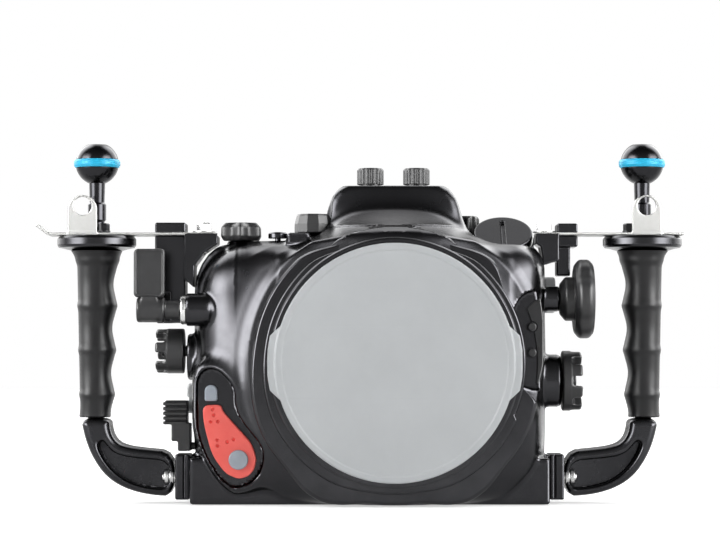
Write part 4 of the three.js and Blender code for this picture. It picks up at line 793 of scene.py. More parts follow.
@dataclass(frozen=True)
class Turned(Finish):
    """A metal turned on a lathe: fine rings round one axis, which draw its highlights out.

    pitch is the width in millimetres of one radian of the rings, drawn coarser than real ones so that they
    show.
    """

    axis: Axis = Axis.Z
    pitch: float = 0.5

    def relief_of(self, tree: bpy.types.NodeTree, place: bpy.types.NodeSocket) -> bpy.types.NodeSocket:
        """Height of the turning marks: one ring for each step of the tool, drawn coarse enough to show.

        Args:
            tree: The material's nodes.
            place: The place on the object in metres.

        Returns:
            The height.
        """
        directions = {"wave_type": "RINGS", "rings_direction": self.axis.name}
        scale = 1 / (self.pitch * MM) / WAVE_RADIANS
        rings = node(tree, "ShaderNodeTexWave", directions, Vector=place, Scale=scale, Distortion=0.4)
        return rings.outputs["Fac"]


@dataclass(frozen=True)
class Knurled(Finish):
    """A metal rolled under a knurling tool: crossed ridges round an upright or lying bar.

    pitch is the width in millimetres of one radian of the ridges, drawn coarser than real ones so that they
    show, and lean is half the angle between the two sets.
    """

    pitch: float = 1.2
    lean: float = 0.7

    def relief_of(self, tree: bpy.types.NodeTree, place: bpy.types.NodeSocket) -> bpy.types.NodeSocket:
        """Height of the crossed ridges.

        Args:
            tree: The material's nodes.
            place: The place on the object in metres.

        Returns:
            The height.
        """
        scale = 1 / (self.pitch * MM) / WAVE_RADIANS
        heights = {}
        for socket, lean in (("i0", self.lean), ("i1", -self.lean)):
            turn = node(tree, "ShaderNodeMapping", Vector=place, Rotation=(0.0, lean, 0.0)).outputs["Vector"]
            wave = node(tree, "ShaderNodeTexWave", {"bands_direction": "Z"}, Vector=turn, Scale=scale)
            heights[socket] = wave.outputs["Fac"]
        return node(tree, "ShaderNodeMath", {"operation": "MULTIPLY"}, **heights).outputs[0]


@dataclass(frozen=True)
class Glass(Finish):
    """A clear acrylic with a hard coat: dark and smooth."""

    def material(self) -> bpy.types.Material:
        """The material, see-through by a little."""
        fresh = bpy.data.materials.get(self.name) is None
        made = super().material()
        if fresh:
            shader = made.node_tree.nodes["Principled BSDF"]
            shader.inputs["Transmission Weight"].default_value = 0.7
            shader.inputs["IOR"].default_value = 1.5
        return made


# Each gives name, colour, tint, roughness, metallic, grain, relief, drift, unevenness and specular level

# Aluminium, bead blasted and hard anodised black: a fine dry grit that spreads highlights wide.
ANODISED = Finish("anodised_aluminium_blasted", "#3a3a3c", "#323234", 0.25, 1.0, 0.9, 0.014, 30.0, 0.05)
# The same alloy milled and then anodised: smoother, so edges and rims shine thin and bright.
MILLED = Finish("anodised_aluminium_milled", "#3d3d3f", "#363638", 0.2, 1.0, 0.6, 0.008, 18.0, 0.04)
# Glass-filled nylon, injection moulded: a sheen over a fine spark-eroded grain.
NYLON = Finish("nylon_moulded", "#1b1b1c", "#222223", 0.42, 0.0, 0.7, 0.03, 12.0, 0.08, 0.5)
# The same nylon with a coarser grain, greyer where fingers rub it.
PAD_NYLON = Finish("nylon_finger_pad", "#1c1c1d", "#252526", 0.42, 0.0, 0.9, 0.035, 9.0, 0.08, 0.45)
# Thermoplastic rubber, moulded in a blasted tool: soft broad highlights and a skin that hardly shines.
GRIP_RUBBER = Finish("grip_rubber_moulded", "#0f0f10", "#161617", 0.44, 0.0, 0.8, 0.04, 14.0, 0.12, 0.28)
# Nitrile rubber, moulded: smooth and a little greasy.
SEAL_RUBBER = Finish("nitrile_rubber_moulded", "#202022", "#29292b", 0.45, 0.0, 1.0, 0.02, 10.0, 0.08, 0.5)
# Polypropylene, injection moulded in pale grey: flow marks drift over a soft satin face.
CAP_PLASTIC = Finish("polypropylene_moulded", "#b5b8ba", "#babdbf", 0.46, 0.0, 1.1, 0.02, 34.0, 0.06, 0.4)
# Aluminium lever, sprayed in coral enamel: even colour, faint orange peel.
CORAL = Finish("coral_enamel_sprayed", "#f6635a", "#fb6f66", 0.38, 0.0, 1.6, 0.02, 12.0, 0.05, 0.45)
# Acetal pin, turned grey: flat satin.
GREY_ACETAL = Finish("acetal_turned", "#9ba3ad", "#a4acb5", 0.42, 0.0, 0.9, 0.015, 6.0, 0.06, 0.4)
# Zinc die casting, powder coated pale grey: fine pebble.
LATCH_GREY = Finish("powder_coated_zinc", "#c3c5c6", "#cbcdce", 0.4, 0.0, 0.8, 0.02, 8.0, 0.06, 0.5)
# Marine steel sheet, bead blasted and passivated: pale and matte, a little darker here and there.
BLASTED_STEEL = Finish("stainless_sheet_blasted", "#b6b6b4", "#acacaa", 0.48, 1.0, 0.7, 0.02, 16.0, 0.10)
# Marine steel, turned and polished: bright, with rings from the tool.
TURNED_STEEL = Turned("stainless_turned", "#dededd", "#cfcfce", 0.24, 1.0, 0.6, 0.012, 7.0, 0.08)
# Marine steel, knurled: crossed ridges that glitter.
KNURLED_STEEL = Knurled("stainless_knurled", "#d2d2d1", "#bebebd", 0.3, 1.0, 0.6, 0.12, 6.0, 0.1)
# Alloy steel, blackened in oil: a dull sheen.
BLACKED_STEEL = Finish("steel_blackened", "#2a2a2b", "#333334", 0.33, 1.0, 0.6, 0.012, 8.0, 0.08)
# Cast aluminium, tumbled and anodised: a skin a little softer than the milled case.
CAST = Finish("anodised_aluminium_cast", "#3a3a3c", "#323234", 0.27, 1.0, 1.2, 0.03, 20.0, 0.08)
# Machined aluminium ball, anodised gloss black: it mirrors the lamps as two soft spots.
BALL_BLACK = Finish("anodised_aluminium_polished", "#2b2b2d", "#303032", 0.2, 1.0, 0.8, 0.006, 12.0, 0.04)
# Silicone ring, moulded bright cyan.
CYAN_RUBBER = Finish("silicone_moulded", "#1fb6e1", "#2ac3ee", 0.42, 0.0, 1.0, 0.02, 8.0, 0.06, 0.45)
# Acetal plate, milled and nearly black: smooth, so it mirrors softly.
SMOOTH_PLATE = Finish("acetal_plate_milled", "#131314", "#18181a", 0.3, 0.0, 0.8, 0.01, 14.0, 0.06, 0.5)
# Brass, turned and left bare: warm, with rings from the tool.
BRASS = Turned("brass_turned", "#b9924c", "#a8813c", 0.3, 1.0, 0.6, 0.02, 9.0, 0.1)
# Acrylic window and lens, polished and hard coated: it shows little of the dark behind it.
GLASS = Glass("acrylic_clear", "#12181c", "#151c20", 0.06, 0.0, 3.0, 0.002, 40.0, 0.02)
# Aluminium tray, clear anodised: light grey and satin.
TRAY = Finish("aluminium_clear_anodised", "#9da0a2", "#8f9294", 0.36, 1.0, 0.8, 0.015, 20.0, 0.08)


# Pieces and their places

BODY_OF = {name: body for body, names in frame["record"]["behaviour"]["bodies"].items() for name in names}


def place(name: str, made: Skin | Sequence[Skin], finish: Finish, *stands_for: str) -> None:
    """Makes a piece, gives it its finish and sets it on the body of the CAD nodes that it stands for.

    Args:
        name: The piece's name.
        made: Its surface or surfaces, in millimetres.
        finish: What it is made of.
        stands_for: The CAD nodes, of which the first gives its body; left out, the node of its name.
    """
    stands_for = stands_for or (name,)
    skins = [made] if isinstance(made, Skin) else list(made)
    starts = np.cumsum([0] + [len(one.points) for one in skins])
    points = np.concatenate([one.points for one in skins]) * MM
    faces = np.concatenate([one.faces + start for one, start in zip(skins, starts)])
    mesh = bpy.data.meshes.new(name)
    mesh.vertices.add(len(points))
    mesh.vertices.foreach_set("co", points.ravel())
    mesh.loops.add(len(faces) * 4)
    mesh.loops.foreach_set("vertex_index", faces.ravel().astype(np.int32))
    mesh.polygons.add(len(faces))
    mesh.polygons.foreach_set("loop_start", np.arange(len(faces), dtype=np.int32) * 4)
    mesh.polygons.foreach_set("use_smooth", np.ones(len(faces), bool))
    mesh.update(calc_edges=True)
    mesh.materials.append(finish.material())
    piece = bpy.data.objects.new(name, mesh)
    bpy.context.scene.collection.objects.link(piece)
    if all(one.normals is not None for one in skins):
        mesh.normals_split_custom_set_from_vertices(np.concatenate([one.normals for one in skins]))
    else:
        mesh.set_sharp_from_angle(angle=math.radians(SHARP_ANGLE))
        weighted = piece.modifiers.new("even_shading", "WEIGHTED_NORMAL")
        weighted.keep_sharp = True
    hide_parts(*stands_for)
    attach(piece, BODY_OF[stands_for[0]])
    log.info("%s: %d faces", name, len(faces))


def keep(finish: Finish, *names: str) -> None:
    """Gives CAD nodes that stay in sight a finish.

    Args:
        finish: What they are made of.
        names: The nodes.
    """
    for name in names:
        for slot in frame["nodes"][name].material_slots:
            slot.material = finish.material()
        log.info("%s: kept from the CAD model", name)


@dataclass(frozen=True)
class Paired:
    """A sub-assembly that stands once on each side of the housing."""

    side: Side

    def place(self, piece: str, made: Skin | Sequence[Skin], finish: Finish) -> None:
        """Makes a piece of this side.

        Args:
            piece: Its name without the side.
            made: Its surface or surfaces.
            finish: What it is made of.
        """
        place(f"{piece}_{self.side.name.lower()}", made, finish)


# Studio


@dataclass(frozen=True)
class Studio:
    """The photograph's camera, and a white sweep lit by a tall soft box on each side and one above.

    Lengths are millimetres. Levels are how bright the room's parts are in the object's reflections, and
    spans are shares of a unit direction, across, back or up, over which a part of the room fades in or out.
    """

    target: Triple = (-19.9, 0.0, 137.5)
    distance: float = 1600.0
    elevation: float = -1.9
    lens: float = 134.7
    sensor: float = 36.0
    aim: Triple = (-20.0, 0.0, 90.0)
    floor_half: float = 6000.0
    floor_drop: float = 0.4
    floor_glow: float = 0.55
    floor_shine: float = 0.4
    box_inner: Pair = (0.48, 0.68)
    box_outer: Pair = (0.93, 0.99)
    box_back: Pair = (-0.15, 0.1)
    box_foot: Pair = (-0.75, -0.35)
    box_head: Pair = (0.35, 0.7)
    box_level: float = 15.0
    room_depth: Pair = (-0.9, 0.2)
    front_level: float = 0.66
    side_level: float = 0.2
    ceiling: Pair = (0.3, 0.9)
    sweep_start: Pair = (0.1, 0.35)
    sweep_end: Pair = (0.82, 0.96)
    sweep_foot: Pair = (-0.1, 0.2)
    sweep_rise: Pair = (0.5, 0.8)
    sweep_head: Pair = (0.88, 0.97)
    wings: Pair = (0.12, 0.4)
    back_level: float = 1.5
    wing_level: float = 5.0
    fill_level: float = 0.38

    def build(self) -> None:
        """Sets up the camera, the lamps, the floor and the world."""
        bpy.context.scene.view_settings.view_transform = "Standard"
        self.camera()
        self.lamps()
        self.floor()
        self.world()

    def camera(self) -> None:
        """The camera, straight in front, a little below its target and looking up by as much."""
        data = bpy.data.cameras.new("camera")
        data.lens = self.lens
        data.sensor_width = self.sensor
        data.clip_start = 0.05
        data.clip_end = 50.0
        tilt = math.radians(self.elevation)
        target = Vector(self.target) * MM
        eye = target + Vector((0.0, -math.cos(tilt), math.sin(tilt))) * self.distance * MM
        camera = bpy.data.objects.new("camera", data)
        camera.location = eye
        camera.rotation_euler = (target - eye).to_track_quat("-Z", "Y").to_euler()
        bpy.context.scene.collection.objects.link(camera)
        bpy.context.scene.camera = camera

    def lamps(self) -> None:
        """Soft boxes: left front, right front and overhead, of which the last isn't mirrored."""
        boxes = (
            ("left_box", (-1350, -900, 700), (700, 1500), 12.0),
            ("right_box", (1350, -900, 700), (700, 1500), 12.0),
            ("top_box", (0, 700, 1500), (1500, 500), 9.0),
        )
        for name, where, size, power in boxes:
            data = bpy.data.lights.new(name, "AREA")
            data.shape = "RECTANGLE"
            data.size, data.size_y = size[0] * MM, size[1] * MM
            data.energy = power
            lamp = bpy.data.objects.new(name, data)
            lamp.location = Vector(where) * MM
            lamp.visible_glossy = name != "top_box"
            way = Vector(self.aim) * MM - lamp.location
            lamp.rotation_euler = way.to_track_quat("-Z", "Y").to_euler()
            bpy.context.scene.collection.objects.link(lamp)

    def floor(self) -> None:
        """A pale floor that takes the object's shadow and is white to the camera elsewhere."""
        half, height = self.floor_half * MM, -self.floor_drop * MM
        mesh = bpy.data.meshes.new("floor")
        corners = [(x * half, y * half, height) for x, y in ((-1, -1), (1, -1), (1, 1), (-1, 1))]
        mesh.from_pydata(corners, [], [(0, 1, 2, 3)])
        paper = bpy.data.materials.new("paper_sweep")
        paper.use_nodes = True
        tree = paper.node_tree
        shader = tree.nodes["Principled BSDF"]
        shader.inputs["Base Color"].default_value = linear("#f4f4f4")
        shader.inputs["Roughness"].default_value = 0.9
        shader.inputs["Emission Color"].default_value = linear("#ffffff")
        fibres = node(tree, "ShaderNodeTexNoise", Scale=900.0, Detail=2.0)
        bump = node(tree, "ShaderNodeBump", Height=fibres.outputs["Fac"], Distance=0.05 * MM)
        tree.links.new(bump.outputs["Normal"], shader.inputs["Normal"])
        ray = node(tree, "ShaderNodeLightPath").outputs
        times, plus = {"operation": "MULTIPLY"}, {"operation": "MULTIPLY_ADD"}
        glow = node(tree, "ShaderNodeMath", times, i0=ray["Is Camera Ray"], i1=self.floor_glow).outputs[0]
        both = node(tree, "ShaderNodeMath", plus, i0=ray["Is Glossy Ray"], i1=self.floor_shine, i2=glow)
        tree.links.new(both.outputs[0], shader.inputs["Emission Strength"])
        mesh.materials.append(paper)
        floor = bpy.data.objects.new("floor", mesh)
        bpy.context.scene.collection.objects.link(floor)
        floor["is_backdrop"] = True

    def world(self) -> None:
        """White to the camera; to the object a room with a tall soft box on each side and a sweep behind."""
        world = bpy.data.worlds.new("white_room")
        bpy.context.scene.world = world
        world.use_nodes = True
        tree = world.node_tree
        tree.nodes.clear()
        ray = node(tree, "ShaderNodeLightPath").outputs
        seen = node(tree, "ShaderNodeTexCoord").outputs["Generated"]
        way = node(tree, "ShaderNodeSeparateXYZ", Vector=seen).outputs

        def ramp(value: bpy.types.NodeSocket, span: Pair, low: float, high: float) -> bpy.types.NodeSocket:
            """A soft step from one level to another."""
            limits = {"From_Min": span[0], "From_Max": span[1], "To_Min": low, "To_Max": high}
            soft = {"interpolation_type": "SMOOTHSTEP"}
            return node(tree, "ShaderNodeMapRange", soft, Value=value, **limits).outputs["Result"]

        def maths(operation: str, *values: object) -> bpy.types.NodeSocket:
            """The values taken together, one after another."""
            whole = values[0]
            for value in values[1:]:
                whole = node(tree, "ShaderNodeMath", {"operation": operation}, i0=whole, i1=value).outputs[0]
            return whole

        across = node(tree, "ShaderNodeMath", {"operation": "ABSOLUTE"}, i0=way["X"]).outputs[0]
        box = maths(
            "MULTIPLY",
            ramp(across, self.box_inner, 0.0, 1.0),
            ramp(across, self.box_outer, 1.0, 0.25),
            ramp(way["Y"], self.box_back, 1.0, 0.0),
            ramp(way["Z"], self.box_foot, 0.2, 1.0),
            ramp(way["Z"], self.box_head, 1.0, 0.0),
            self.box_level,
        )
        walls = ramp(way["Y"], self.room_depth, self.front_level, self.side_level)
        walls = maths("MULTIPLY", walls, ramp(way["Z"], self.ceiling, 1.0, 0.5))
        sweep = maths(
            "MULTIPLY",
            ramp(way["Y"], self.sweep_start, 0.0, 1.0),
            ramp(way["Y"], self.sweep_end, 1.0, 0.08),
            ramp(way["Z"], self.sweep_foot, 0.0, 1.0),
            ramp(way["Z"], self.sweep_head, 1.0, 0.0),
            ramp(way["Z"], self.sweep_rise, 1.0, 1.4),
            ramp(across, self.wings, self.back_level, self.wing_level),
        )
        room = maths("ADD", walls, box, sweep)
        direct = maths("MAXIMUM", ray["Is Camera Ray"], ray["Is Transmission Ray"])
        kind = {"data_type": "FLOAT"}
        level = node(tree, "ShaderNodeMix", kind, i0=ray["Is Glossy Ray"], i2=self.fill_level, i3=room)
        whole = node(tree, "ShaderNodeMix", kind, i0=direct, i2=level.outputs[0], i3=1.0)
        light = node(tree, "ShaderNodeBackground", Color=linear("#ffffff"), Strength=whole.outputs[0])
        node(tree, "ShaderNodeOutputWorld", Surface=light.outputs["Background"])


# Where the controls stand: the point on each one's axis that lies at 0 along it

PORT_Z = 82.3
PORT = (0.0, 0.0, PORT_Z)
FINDER = (0.0, 0.0, 138.0)
TRIGGER = (0.0, -28.0, 113.4)
STAR_KNOB = (0.0, -6.0, 89.4)
LEFT_LATCH = (0.0, 9.8, 61.2)
FOCUS_KNOB = (0.0, -16.0, 119.9)
ZOOM_KNOB = (0.0, -14.0, 71.9)
RIGHT_LATCH = (0.0, 8.6, 122.8)
STAR_DIAL = (-90.3, -4.0, 0.0)
TOP_BUTTON = (-68.4, -8.0, 0.0)
MODE_DIAL = (-47.5, -11.0, 0.0)
REAR_DIAL = (44.4, 11.0, 0.0)
REAR_WHEEL = (-62.0, 0.0, 62.0)
REAR_BUTTONS = {
    "rear_button_menu_side": (-92.0, 0.0, 98.0),
    "rear_button_upper": (-69.0, 0.0, 98.0),
    "rear_button_window_side": (-49.0, 0.0, 112.0),
}
ORIGIN = (0.0, 0.0, 0.0)
# Carries the plug from upright over the origin to its slanted boss.
PLUG_LEAN = Matrix.Translation((64.7, -8.0, 159.6)) @ Matrix.Rotation(math.radians(35), 4, "X")

# The case

WALL_LEFT = -116.7
WALL_RIGHT = 87.0
ROOF = 152.3


@dataclass(frozen=True)
class Hull:
    """The outline of both halves: round shoulders, a flat roof and the hump over the middle."""

    top: float = 186.8

    def outline(self, inset: float = 0.0) -> list[Pair]:
        """The outline, seen from the front.

        Args:
            inset: How far inside the wall it runs.

        Returns:
            Places across and up.
        """
        right = [(54.0, ROOF), (47.5, ROOF + 0.9), (43.2, ROOF + 4.0), (40.6, 161.0), (37.6, 169.0)]
        right += [(36.4, 173.6), (34.6, 178.6), (31.2, 183.2), (26.5, 186.1), (20.0, self.top)]
        left = [(-x, z) for x, z in reversed(right)]
        shoulder = [(-97.0, ROOF), (-101.4, 151.6), (-105.0, 150.0), (-109.2, 146.4), (-113.2, 140.6)]
        shoulder += [(-115.8, 134.0), (WALL_LEFT, 125.6)]
        foot = [(WALL_LEFT, 8.0), (-114.4, 2.4), (-108.7, 0.0), (79.0, 0.0), (84.7, 2.4), (WALL_RIGHT, 8.0)]
        corner = [(WALL_RIGHT, 138.3), (85.9, 144.0), (82.9, 148.2), (78.6, 151.2), (73.0, ROOF)]
        places = np.array(foot + corner + right + left + shoulder)
        if inset:
            run = np.roll(places, -1, axis=0) - np.roll(places, 1, axis=0)
            out = np.stack([run[:, 1], -run[:, 0]], axis=1) / np.linalg.norm(run, axis=1)[:, None]
            places = places - out * inset
        return [tuple(place) for place in places]


# The lock lever's pin, and how far the lever reaches from it
LOCK = (-90.2, 0.0, 26.4)
LOCK_REACH = 32.0


def by_lock(shares: Outline) -> list[Pair]:
    """Places by the port lock.

    Args:
        shares: Shares of the lever's reach, across and up from its pin.

    Returns:
        Places across and up.
    """
    return [(LOCK[0] + across * LOCK_REACH, LOCK[2] + up * LOCK_REACH) for across, up in shares]


def from_top(angles: np.ndarray) -> np.ndarray:
    """Degrees from the top of the port, the same on both sides."""
    return np.degrees(np.abs((angles + math.pi) % (2 * math.pi) - math.pi))


@dataclass(frozen=True)
class FrontShell:
    """The front half of the case: a pillowed face that swells into the port's collar and the hump."""

    joint: float = 20.0
    pillow_front: float = -38.0
    pillow_round: float = 24.0
    crown_low: float = 96.0
    crown_front: float = -54.0
    crown_power: float = 2.2
    stem_low: float = 138.0
    clear_above: float = 190.0
    net: float = 1.5

    def pillow(self) -> Form:
        """The swollen front, round at the lower corners."""
        outline = rounded(-115.6, 86.0, 4.0, 151.6, (45.0, 40.0, 16.0, 30.0))
        front = slab(softened(outline, 1), self.pillow_front, self.joint, Axis.Y, self.pillow_round)
        pad = slab(softened(self.lock_outline(1.12), 2), self.pillow_front - 0.3, -12.0, Axis.Y, 5.0)
        return front.join(pad, blend=9.0)

    def lock_outline(self, size: float = 1.0) -> list[Pair]:
        """The outline of the pocket for the port lock.

        Args:
            size: How much larger than the pocket it is drawn.

        Returns:
            Places across and up.
        """
        shares = [(-0.747, 1.584), (-0.431, 1.691), (-0.059, 1.306), (-0.062, 0.944), (0.05, 0.7)]
        shares += [(0.388, 0.306), (0.475, 0.047), (0.394, -0.272), (0.175, -0.463), (-0.15, -0.519)]
        shares += [(-0.481, -0.15), (-0.759, 0.475), (-0.766, 1.137)]
        middle = (-0.2, 0.5)
        grown = [(middle[0] + (x - middle[0]) * size, middle[1] + (z - middle[1]) * size) for x, z in shares]
        return by_lock(grown)

    def neck(self) -> Form:
        """The flare round the port and its lower step."""
        step = [(0.0, 10.0), (84.0, 10.0), (84.0, -42.0), (81.0, -43.4), (74.0, -46.0), (0.0, -46.0)]
        flare = [(0.0, 10.0), (108.0, -12.0), (99.0, -31.0), (91.0, -38.0), (84.0, -42.6), (0.0, -44.0)]
        across, along = (-112.0, 84.0), (-60.0, 20.0)
        skirt = spun_form(flare, Axis.Y, PORT).meet(box(across, along, (1.0, 149.0), 12.0), blend=8.0)
        core = spun_form(step, Axis.Y, PORT).meet(box(across, along, (1.0, 152.0), 4.0), blend=2.0)
        return skirt.join(core, blend=4.0)

    def crown(self) -> Form:
        """The hump: upright at the back, falling in an S from its top to the collar."""
        front, low, top, power = self.crown_front, self.crown_low, Hull().top, self.crown_power
        # Each level section's height, how far it reaches to the front and half its width.
        sections = [(low, 54.0, 70.0), (140.0, 54.0, 64.0), (150.0, 54.0, 53.0), (155.4, 54.0, 46.0)]
        sections += [(160.8, 45.0, 41.0), (165.2, 36.0, 38.8), (169.4, 27.0, 37.8), (174.2, 20.0, 36.6)]
        sections += [(179.6, 14.0, 33.6), (184.6, 8.4, 27.6), (top, 3.6, 21.0)]
        heights, depths, widths = np.array(sections).T

        def bell(points: np.ndarray) -> np.ndarray:
            """Distances to a bell whose level sections are round-cornered, and straight behind."""
            near = points[:, 2] + np.linspace(-3.0, 3.0, 7)[:, None]
            depth = np.interp(near, heights, depths).mean(axis=0)
            width = np.interp(near, heights, widths).mean(axis=0)
            width = width + 7.0 * np.clip((points[:, 1] + 7.0) / 8.0, 0.0, 1.0)
            ahead = np.maximum(-points[:, 1], 0.0) / depth
            reach = ((np.abs(points[:, 0]) / width) ** power + ahead**power) ** (1 / power)
            return (reach - 1.0) * np.minimum(depth, width) * 0.45

        form = Form(bell, np.array([-70.0, front, low]), np.array([70.0, 30.0, top]))
        across = slab(softened(Hull().outline(0.2), 1), front - 2.0, self.joint, Axis.Y)
        return form.meet(box((-60.0, 60.0), (front, 24.0), (low, top), 1.0)).meet(across, blend=1.0)

    def bosses(self) -> Form:
        """What the controls stand on."""
        plug = rod(18.4, -17.0, -5.3, Axis.Z, ORIGIN, 1.2).moved(PLUG_LEAN)
        saddle = rod(17.0, -26.0, -12.0, Axis.Z, ORIGIN, 4.0).moved(PLUG_LEAN)
        made = plug.join(saddle, blend=3.0)
        uprights = [(STAR_DIAL, 8.0, 2.1), (TOP_BUTTON, 4.4, 1.0), (MODE_DIAL, 9.0, 6.2)]
        uprights += [(REAR_DIAL, 6.0, 5.6), ((-55.6, -13.0, 0.0), 7.0, 6.1)]
        for centre, radius, rise in uprights:
            made = made.join(rod(radius, self.stem_low, ROOF + rise, Axis.Z, centre, 0.8))
        keel = [(-13.0, 140.0), (-13.0, 158.2), (-33.5, 158.2), (-33.5, 152.0), (-29.0, 147.0)]
        made = made.join(slab(keel, -62.8, -48.6, Axis.X, 2.4), blend=2.0)
        bullet = [(0.0, -121.3), (8.7, -121.3), (9.5, -120.5), (9.5, -110.0), (8.9, -107.6), (7.4, -105.0)]
        bullet += [(4.4, -102.4), (0.0, -101.0)]
        made = made.join(spun_form(bullet, Axis.X, TRIGGER), blend=0.6)
        made = made.join(rod(13.6, -121.5, -104.0, Axis.X, (0.0, -6.0, 86.0), 1.2), blend=1.5)
        made = made.join(rod(7.4, 74.0, 97.0, Axis.X, FOCUS_KNOB, 0.8), blend=1.5)
        made = made.join(rod(15.4, 74.0, 98.0, Axis.X, ZOOM_KNOB, 2.4), blend=3.0)
        return made.join(rod(10.7, 74.0, 89.1, Axis.X, RIGHT_LATCH, 0.8), blend=1.0)

    def recess(self) -> Form:
        """The pocket that the port lock lies in."""
        return slab(softened(self.lock_outline(), 3), -60.0, -34.0, Axis.Y)

    def hollows(self) -> list[Form]:
        """The camera's space, the port's bore, the places of the plug and dials, and the stems' holes."""
        camera = box((-105.0, 75.0), (-26.0, 30.0), (14.0, 140.0), 9.0)
        finder = box((-22.0, 22.0), (-8.0, 30.0), (100.0, 177.0), 4.0)
        bore = rod(60.0, -60.0, -20.0, Axis.Y, PORT)
        plug = rod(20.0, -5.3, 30.0, Axis.Z, ORIGIN).moved(PLUG_LEAN)
        mode = rod(11.8, ROOF + 6.2, self.clear_above, Axis.Z, MODE_DIAL)
        rear = rod(8.0, ROOF + 5.6, self.clear_above, Axis.Z, REAR_DIAL)
        left, right = (-130.0, -100.0), (70.0, 110.0)
        holes = []
        for centre, radius, span in (
            (TRIGGER, 3.75, left),
            (STAR_KNOB, 3.75, left),
            (LEFT_LATCH, 3.35, left),
            (FOCUS_KNOB, 3.95, right),
            (ZOOM_KNOB, 3.75, right),
            (RIGHT_LATCH, 3.35, right),
        ):
            holes.append(rod(radius, *span, Axis.X, centre))
        return [camera, finder, bore, plug, mode, rear, *holes]

    def facet(self) -> Form:
        """What is milled off the right front for the lens release plate."""
        places = [(64.0, 84.0), (72.0, 68.0), (90.0, 66.0), (90.0, 124.0), (74.0, 124.0), (67.0, 110.0)]
        return slab(softened(places, 2), -60.0, -36.7, Axis.Y)

    def build(self) -> None:
        """Makes the shell and its crisp collar."""
        hull = slab(Hull().outline(), -14.0, self.joint, Axis.Y, 3.0)
        body = hull.join(self.pillow(), blend=4.0)
        body = body.join(self.neck(), blend=12.0).join(self.crown(), blend=10.0)
        foot = box((-119.0, 90.6), (-30.0, 24.0), (0.0, 27.0), 1.6)
        pads = box((-119.6, 91.1), (-14.0, 14.0), (2.0, 28.8), 1.2)
        body = body.join(foot, blend=2.0).join(pads).join(self.bosses(), blend=2.0)
        body = body.cut(self.recess(), blend=1.6).cut(self.facet(), blend=0.8).cut(*self.hollows())
        body = body.meet(box((-125.0, 99.0), (self.crown_front, self.joint), (0.0, Hull().top)))
        place("front_shell", skin(body, self.net), ANODISED)
        self.collar()

    def collar(self) -> None:
        """The two steps of the collar, whose edges catch the light: they flare below into a chin."""
        upper = [(60.2, -44.0, 0), (60.2, -56.0, 0.6), (75.0, -56.0, 1.3), (75.6, -50.0, 0.4)]
        upper += [(75.4, -38.0, 0), (60.2, -38.0, 0)]
        lower = [(74.0, -37.0, 0), (74.0, -50.4, 0), (80.6, -50.2, 1.3), (82.0, -48.4, 1.3)]
        lower += [(82.3, -36.0, 0)]

        def chin(angles: np.ndarray, radius: float, _height: float) -> np.ndarray:
            """Radii round the lower step: wider below on both sides, and cut off at the release plate."""
            turn = from_top(angles)
            wide = 0.06 * ease(turn, 80.0, 125.0) + 0.04 * ease(turn, 130.0, 148.0)
            wide = wide * (1 - ease(turn, 150.0, 172.0)) - 0.07 * (1 - ease(turn, 24.0, 44.0))
            outer = radius > 78
            reach = radius * (1 + wide * (1.0 if outer else 0.3))
            if outer:
                reach = np.minimum(reach, (PORT_Z - 0.6) / np.maximum(-np.cos(angles), 1e-3))
            right = np.degrees(angles)
            beside = ease(right, 44.0, 60.0) * (1 - ease(right, 100.0, 106.0))
            return reach + (np.minimum(reach, 74.6) - reach) * beside

        def flare(angles: np.ndarray, radius: float, _height: float) -> np.ndarray:
            """Radii round the upper step: its outer edge widens a little with the chin."""
            turn = from_top(angles)
            wide = 0.03 * ease(turn, 80.0, 125.0) * (1 - ease(turn, 150.0, 172.0))
            wide = wide - 0.045 * (1 - ease(turn, 22.0, 42.0))
            right = np.degrees(angles)
            plain = (radius < 70) | ((right > 40.0) & (right < 115.0))
            return np.where(plain, radius, radius * (1 + wide))

        rings = [spun(upper, Axis.Y, PORT, 288, flare, 5), spun(lower, Axis.Y, PORT, 576, chin, 5)]
        place("front_shell_collar", rings, MILLED, "front_shell")


